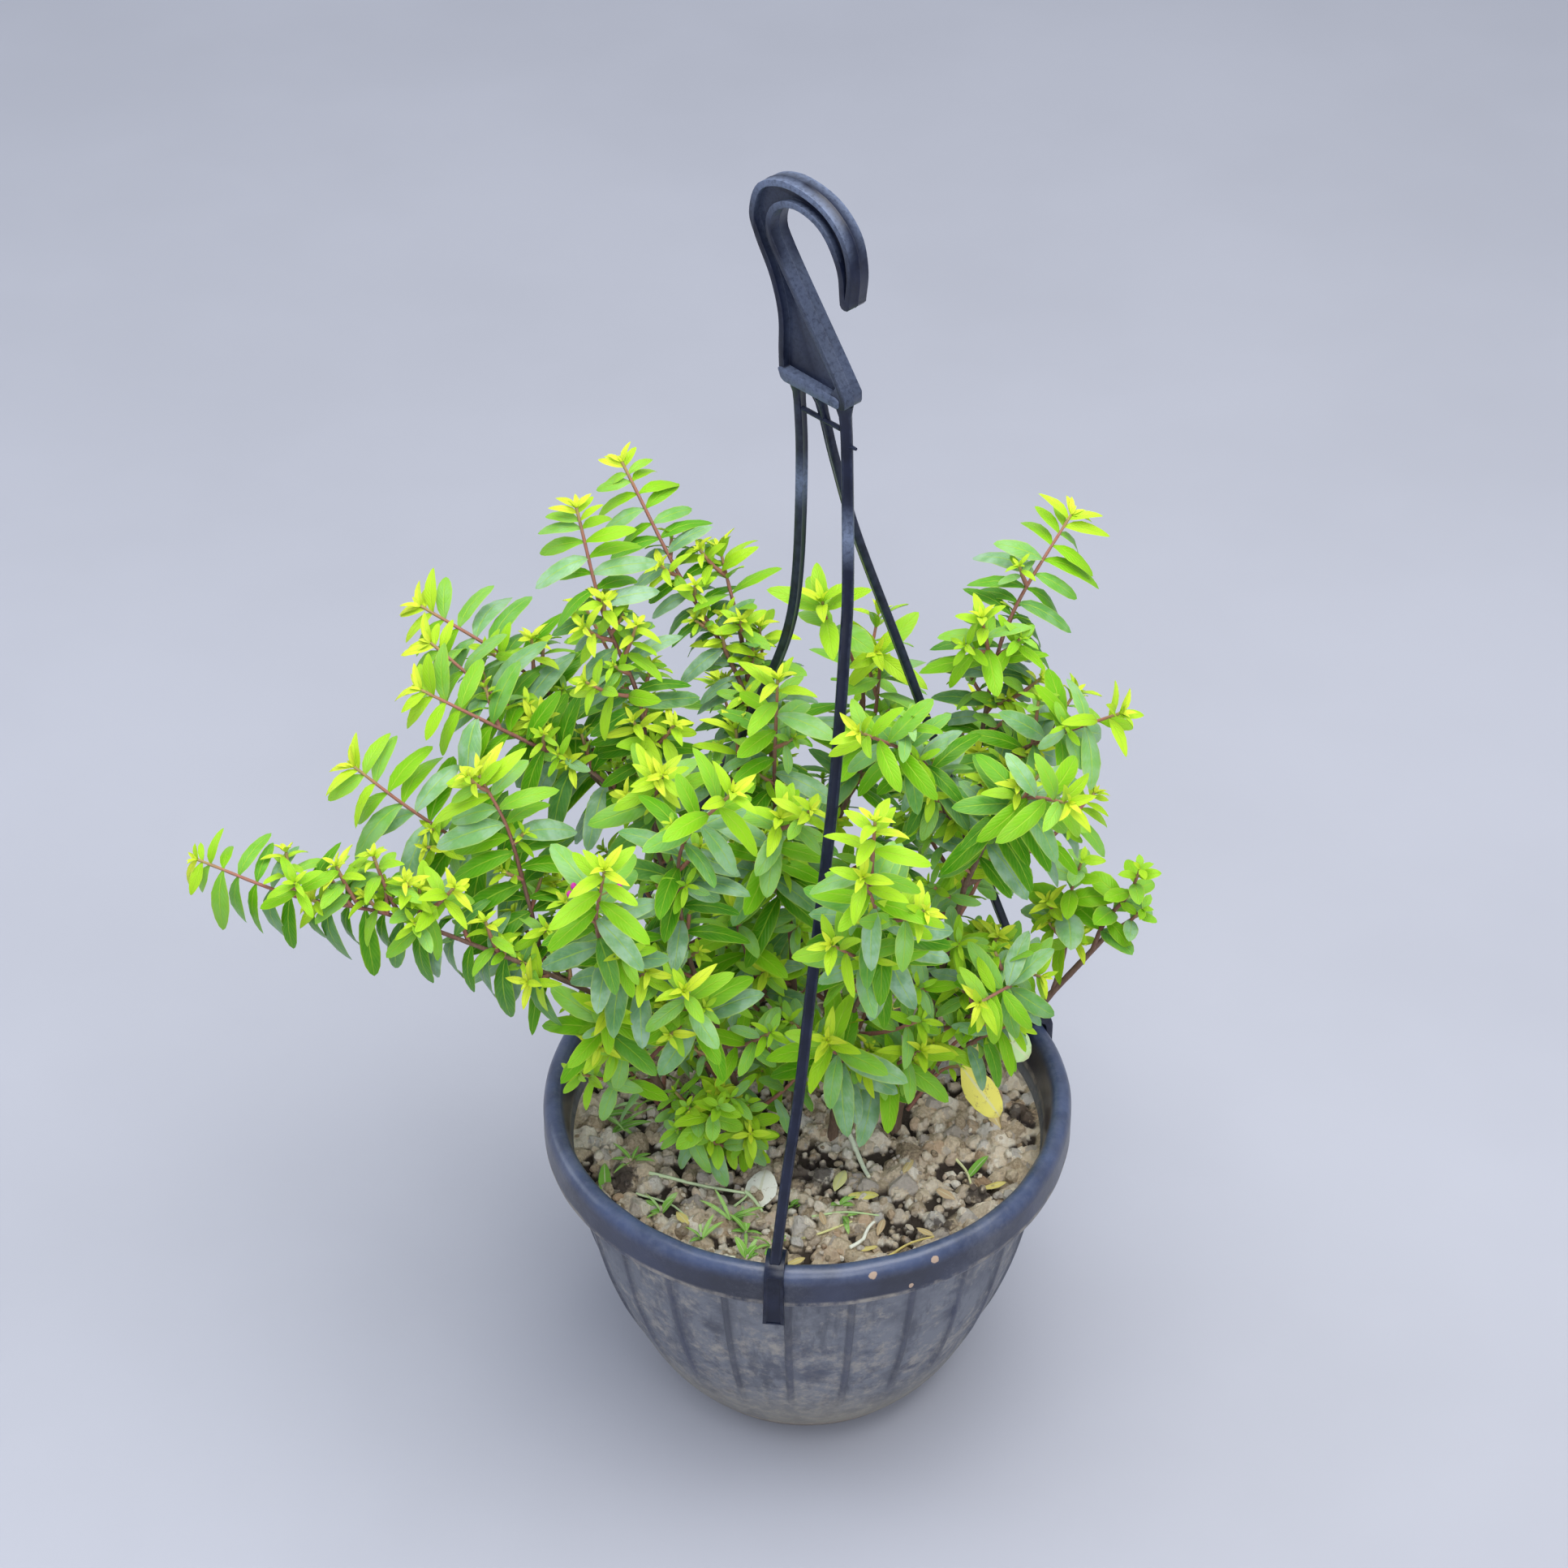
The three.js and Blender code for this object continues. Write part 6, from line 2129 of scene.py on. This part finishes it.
    def _side_twigs(self, carrier: Shoot, growth: SideGrowth, first: float) -> list[Shoot]:
        """Side shoots all along a carrier.

        Args:
            carrier: What carries them.
            growth: How they grow.
            first: The share of the carrier where they begin.

        Returns:
            Those that stand clear of the straps, the rim and the soil.
        """
        run = float(np.sum(np.linalg.norm(np.diff(smooth_line(carrier.path, 2), axis=0), axis=1)))
        count = max(1, int(run * (growth.last - first) / growth.spacing))
        twigs = []
        for i in range(count):
            chance, other = noise(carrier.seed * 23 + i * 7 + 5), noise(carrier.seed * 3 + i * 13 + 2)
            share = first + (growth.last - first) * (i + 0.6 * chance) / count
            angle = (carrier.seed * 5 + i) * GOLDEN_ANGLE + chance
            twigs.append(self._twig(
                carrier, share, angle, growth.length[0] + growth.length[1] * other, growth.rise,
                age=growth.age[0] + growth.age[1] * chance, ageing=growth.ageing,
                leaf_size=growth.leaf_size[0] + growth.leaf_size[1] * other,
                seed=carrier.seed * 41 + i * 3 + 100))
        return [twig for twig in twigs if self._stands_clear(twig)]

    def _stands_clear(self, twig: Shoot) -> bool:
        """Whether a side shoot keeps off the straps, the rim and the soil."""
        points = smooth_line(twig.path, 2)[1:]
        return all(self.hard.is_free(point, 1.2) and self._above(point, 3) for point in points)

    @staticmethod
    def _above(point: Array, margin: float) -> bool:
        """Whether a point lies clear of the soil and the pot by a margin."""
        radius = math.hypot(point[0], point[1])
        if radius > RIM_RADIUS + 6:
            return True
        if radius > RIM_RADIUS - 14:
            return point[2] > RIM_TOP + margin
        return point[2] > SOIL_TOP + 1.5 + margin

    def _wood(self, gathering: Gathering, plan: StemPlan) -> None:
        """Adds the stem's bare wood, from below the soil's surface up."""
        line = smooth_line(((*plan.foot, SOIL_TOP - 9), *self._wood_line(plan)), 2.5)
        last = len(line) - 1
        random = np.random.default_rng(len(plan.name) + int(abs(plan.foot[0])))
        knobs = 1 + 0.13 * random.standard_normal(last + 1)
        knobs = np.convolve(np.pad(knobs, 1, mode="edge"), (0.25, 0.5, 0.25), "valid")
        sides = 9

        def radius(share: float) -> float:
            """Thins out upwards, with knobs at the old nodes."""
            thin = self.wood_radius + share * (self.shoot_radius - self.wood_radius)
            return thin * knobs[round(share * last)] * (1 + 0.35 * max(0.0, 1 - share * 9))

        corners, faces = swept(line, round_section(radius, sides), np.array((1.0, 0.1, 0)))
        gathering.add(corners, faces, BARK, age=np.repeat(1 - 0.25 * np.linspace(0, 1, last + 1), sides))

    def _rod(self, gathering: Gathering, shoot: Shoot) -> None:
        """Adds the thin rod of a shoot, swollen a little at each pair of leaves."""
        step = 2.4 if len(shoot.path) == 3 and shoot.age > 0 else 3.2
        line = smooth_line(shoot.path, step)
        last = len(line) - 1
        run = last * step
        is_twig = shoot.seed >= 100 or shoot.leafy < self.twig_length
        base = self.twig_radius if is_twig else self.shoot_radius
        sides = 6

        def radius(share: float) -> float:
            """Thins out to the tip."""
            swelling = 0.12 * abs(math.sin(share * run / self.pair_spacing * 3.14))
            return base + share * (self.tip_radius - base) + swelling

        corners, faces = swept(line, round_section(radius, sides), np.array((0.9, 0.3, 0.2)))
        age = 1.05 * (1 - np.linspace(0, 1, last + 1)) * min(1.0, run / 80) + 0.06
        gathering.add(corners, faces, BARK, age=np.repeat(np.clip(age, 0, 0.8), sides))

    def _add_turned(self, gathering: Gathering, plan: StemPlan) -> None:
        """Adds the turned leaves that the plan marks."""
        for i, turned in enumerate(plan.turned):
            root, reach = np.array(turned.root), np.array(turned.tip) - np.array(turned.root)
            along = unit(reach)
            leaf = Leaf(
                root, along, square_to(FRONT, along), float(np.linalg.norm(reach)), turned.width, droop=0.06,
                fold=0.22, age=turned.age, chance=noise(i * 2.7 + turned.width), twist=0.25, wave=0.1)
            self.pattern.add_to(gathering, leaf, DRY)

    @staticmethod
    def _add_buds(gathering: Gathering, plan: StemPlan) -> None:
        """Adds the flower buds that the plan marks, each on a short stalk."""
        if not plan.buds:
            return
        ball = modelled("bud", bpy.ops.mesh.primitive_uv_sphere_add, segments=8, ring_count=6, radius=MM)
        shape, faces = coords(ball), faces_of(ball)
        bpy.data.objects.remove(ball)
        for foot, middle in plan.buds:
            start, end = np.array(foot, float), np.array(middle, float)
            line = start + np.linspace(0, 1, 4)[:, None] * (end - start)
            stalk = swept(line, round_section(lambda share: 0.32 + 0.12 * share, 6), UP)
            gathering.add(*stalk, BARK, age=0.05)
            gathering.add(end + shape * (1.15, 1.15, 1.5), faces, BUD, 0.5 + 0.5 * shape)

    def _leaf(self, root: Array, ahead: Array, shoot: Shoot, pair: int, half: int, nudge: float) -> Leaf:
        """One leaf of a pair.

        Args:
            root: The point on the shoot that it grows from.
            ahead: The shoot's direction there.
            shoot: The shoot.
            pair: Which pair it belongs to, counted from the tip. The crown's small pairs are below 0.
            half: Which of the two it is.
            nudge: How far it is turned about the shoot to find room.

        Returns:
            The leaf.
        """
        seed, stance = shoot.seed, STANCES[shoot.habit]
        random, other = noise(seed * 31 + pair * 2 + half + 1), noise(seed * 5.3 + pair * 3.1 + half * 1.7)
        chance = noise(seed * 3.7 + pair * 1.9 + half * 0.7)
        out = self._outward(ahead, shoot, pair, half * math.pi + nudge, random)
        crown, full = max(0, -pair), max(0, pair)
        raised = shoot.habit is Habit.FRINGE and out[2] > 0
        spread = min(stance.widest, stance.closed + stance.opening * full) + 0.45 * (random - 0.5)
        spread = spread * (1, 0.6, 0.3)[crown]
        along = ahead * math.cos(spread) + out * math.sin(spread)
        if crown == 0 and not raised:
            along = unit(along - stance.hang * UP)
        face = ahead * math.sin(spread) - out * math.cos(spread)
        face = face + stance.to_light * (LIGHT - face) + 0.25 * (other - 0.5) * np.cross(along, face)
        growth = min(1.08, 0.47 + 0.13 * full) * (1, 0.68, 0.42)[crown] * shoot.leaf_size
        growth = growth * (0.68 if raised else 1)
        length = self.leaf_length * growth * (0.82 + 0.34 * noise(seed * 17 + pair * 5 + half))
        age = shoot.age + shoot.ageing * 0.1 * (pair + 0.6) + 0.1 * (chance - 0.5)
        age = min(1.0, max(0.0, age))
        return Leaf(
            root=root + 0.4 * self.tip_radius * out, along=along, face=square_to(face, along), length=length,
            width=length * stance.width * (0.88 + 0.24 * chance),
            droop=stance.curl * (0.18 + 0.32 * other + 0.22 * age), fold=0.42 - 0.14 * min(1.0, growth), age=age,
            chance=chance, twist=0.8 * (noise(seed * 7 + pair * 3 + half * 2) - 0.5), wave=0.06 + 0.1 * random)

    @staticmethod
    def _outward(ahead: Array, shoot: Shoot, pair: int, turn: float, random: float) -> Array:
        """The direction in which a leaf leaves its shoot.

        Args:
            ahead: The shoot's direction.
            shoot: The shoot.
            pair: Which pair the leaf belongs to.
            turn: Its turn about the shoot, apart from that of the pair.
            random: Its chance value.

        Returns:
            The direction, square to the shoot.
        """
        if shoot.habit in (Habit.FEATHER, Habit.FRINGE) and pair >= 0:
            first = square_to(np.cross(FRONT, ahead), ahead)
            turn += 0.5 * (pair % 2) - 0.25 + 0.7 * (random - 0.5)
        else:
            first = square_to(np.array((0.0, -1.0, 0.0)) if abs(ahead[2]) > 0.94 else UP, ahead)
            turn += pair * math.pi / 2 + shoot.seed * GOLDEN_ANGLE + 0.3 * (random - 0.5)
        return first * math.cos(turn) + np.cross(ahead, first) * math.sin(turn)

    def _finds_room(self, leaf: Leaf) -> bool:
        """Whether a leaf keeps off everything hard and doesn't lie in another leaf."""
        half = leaf.width / 2
        for share in (0.3, 0.5, 0.7, 0.9, 1.0):
            spot = leaf.point(share)
            wide = 0.75 * half if share < 1 else 0.3
            if not self.hard.is_free(spot, wide) or not self._above(spot, 0.6 * half):
                return False
        if leaf.length < 8:
            return True
        return all(self.room.is_free(leaf.point(share), 0.3 * half) for share in self.touching)

    def _leaves(self, shoot: Shoot) -> list[Leaf]:
        """Every leaf of a shoot: pairs that stand closer towards the tip, and a crown of small ones."""
        points = smooth_line(shoot.path, 1)
        ahead = headings(points)
        spacing = self.pair_spacing * (0.85 if shoot.leaf_size < 1 else 1.0)
        leaves = []
        below, pair = 0.2, -2
        while below < shoot.leafy and below < len(points) - 2:
            place = len(points) - 1 - round(below)
            for half in (0, 1):
                for nudge in (0.0, 0.4, -0.4):
                    leaf = self._leaf(points[place], ahead[place], shoot, pair, half, nudge)
                    if self._finds_room(leaf):
                        leaves.append(leaf)
                        for share in self.touching:
                            self.room.take(leaf.point(share), 0.3 * leaf.width / 2)
                        break
            below += 0.15 if pair < 0 else spacing * min(1.0, STANCES[shoot.habit].closeness + 0.2 * pair)
            pair += 1
        return leaves


def report(pieces: Iterable[Object]) -> int:
    """Logs each piece with its number of triangles, and returns their sum."""
    total = 0
    for piece in pieces:
        triangles = sum(len(face.vertices) - 2 for face in piece.data.polygons)
        LOG.info("%s: %d triangles", piece.name, triangles)
        total += triangles
    return total


def main() -> None:
    """Builds the studio and every piece of the potted plant."""
    logging.basicConfig(level=logging.INFO, format="%(name)s %(message)s")
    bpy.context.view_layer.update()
    effects = SharedEffects()
    Studio().build()
    camera = Camera()
    camera.build()
    pattern = LeafPattern()
    pieces = [Pot(effects).build()]
    pieces += Soil().build()
    ground = Ground(pieces[1])
    dry = DryLeaf().build()
    pieces += Litter(ground, pattern, dry).build()
    pieces += Hanger(effects).build()
    small_pattern = LeafPattern((0, 0.22, 0.5, 0.8, 1), (0.2, 0.74, 1.0, 0.66, 0), (0.2, 0.72, 1.0, 0.8, 0), 2)
    pieces += Bush(pattern, small_pattern, camera, dry).build()
    LOG.info("%d pieces, %d triangles", len(pieces), report(pieces))
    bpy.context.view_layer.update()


if __name__ == "__main__":
    main()
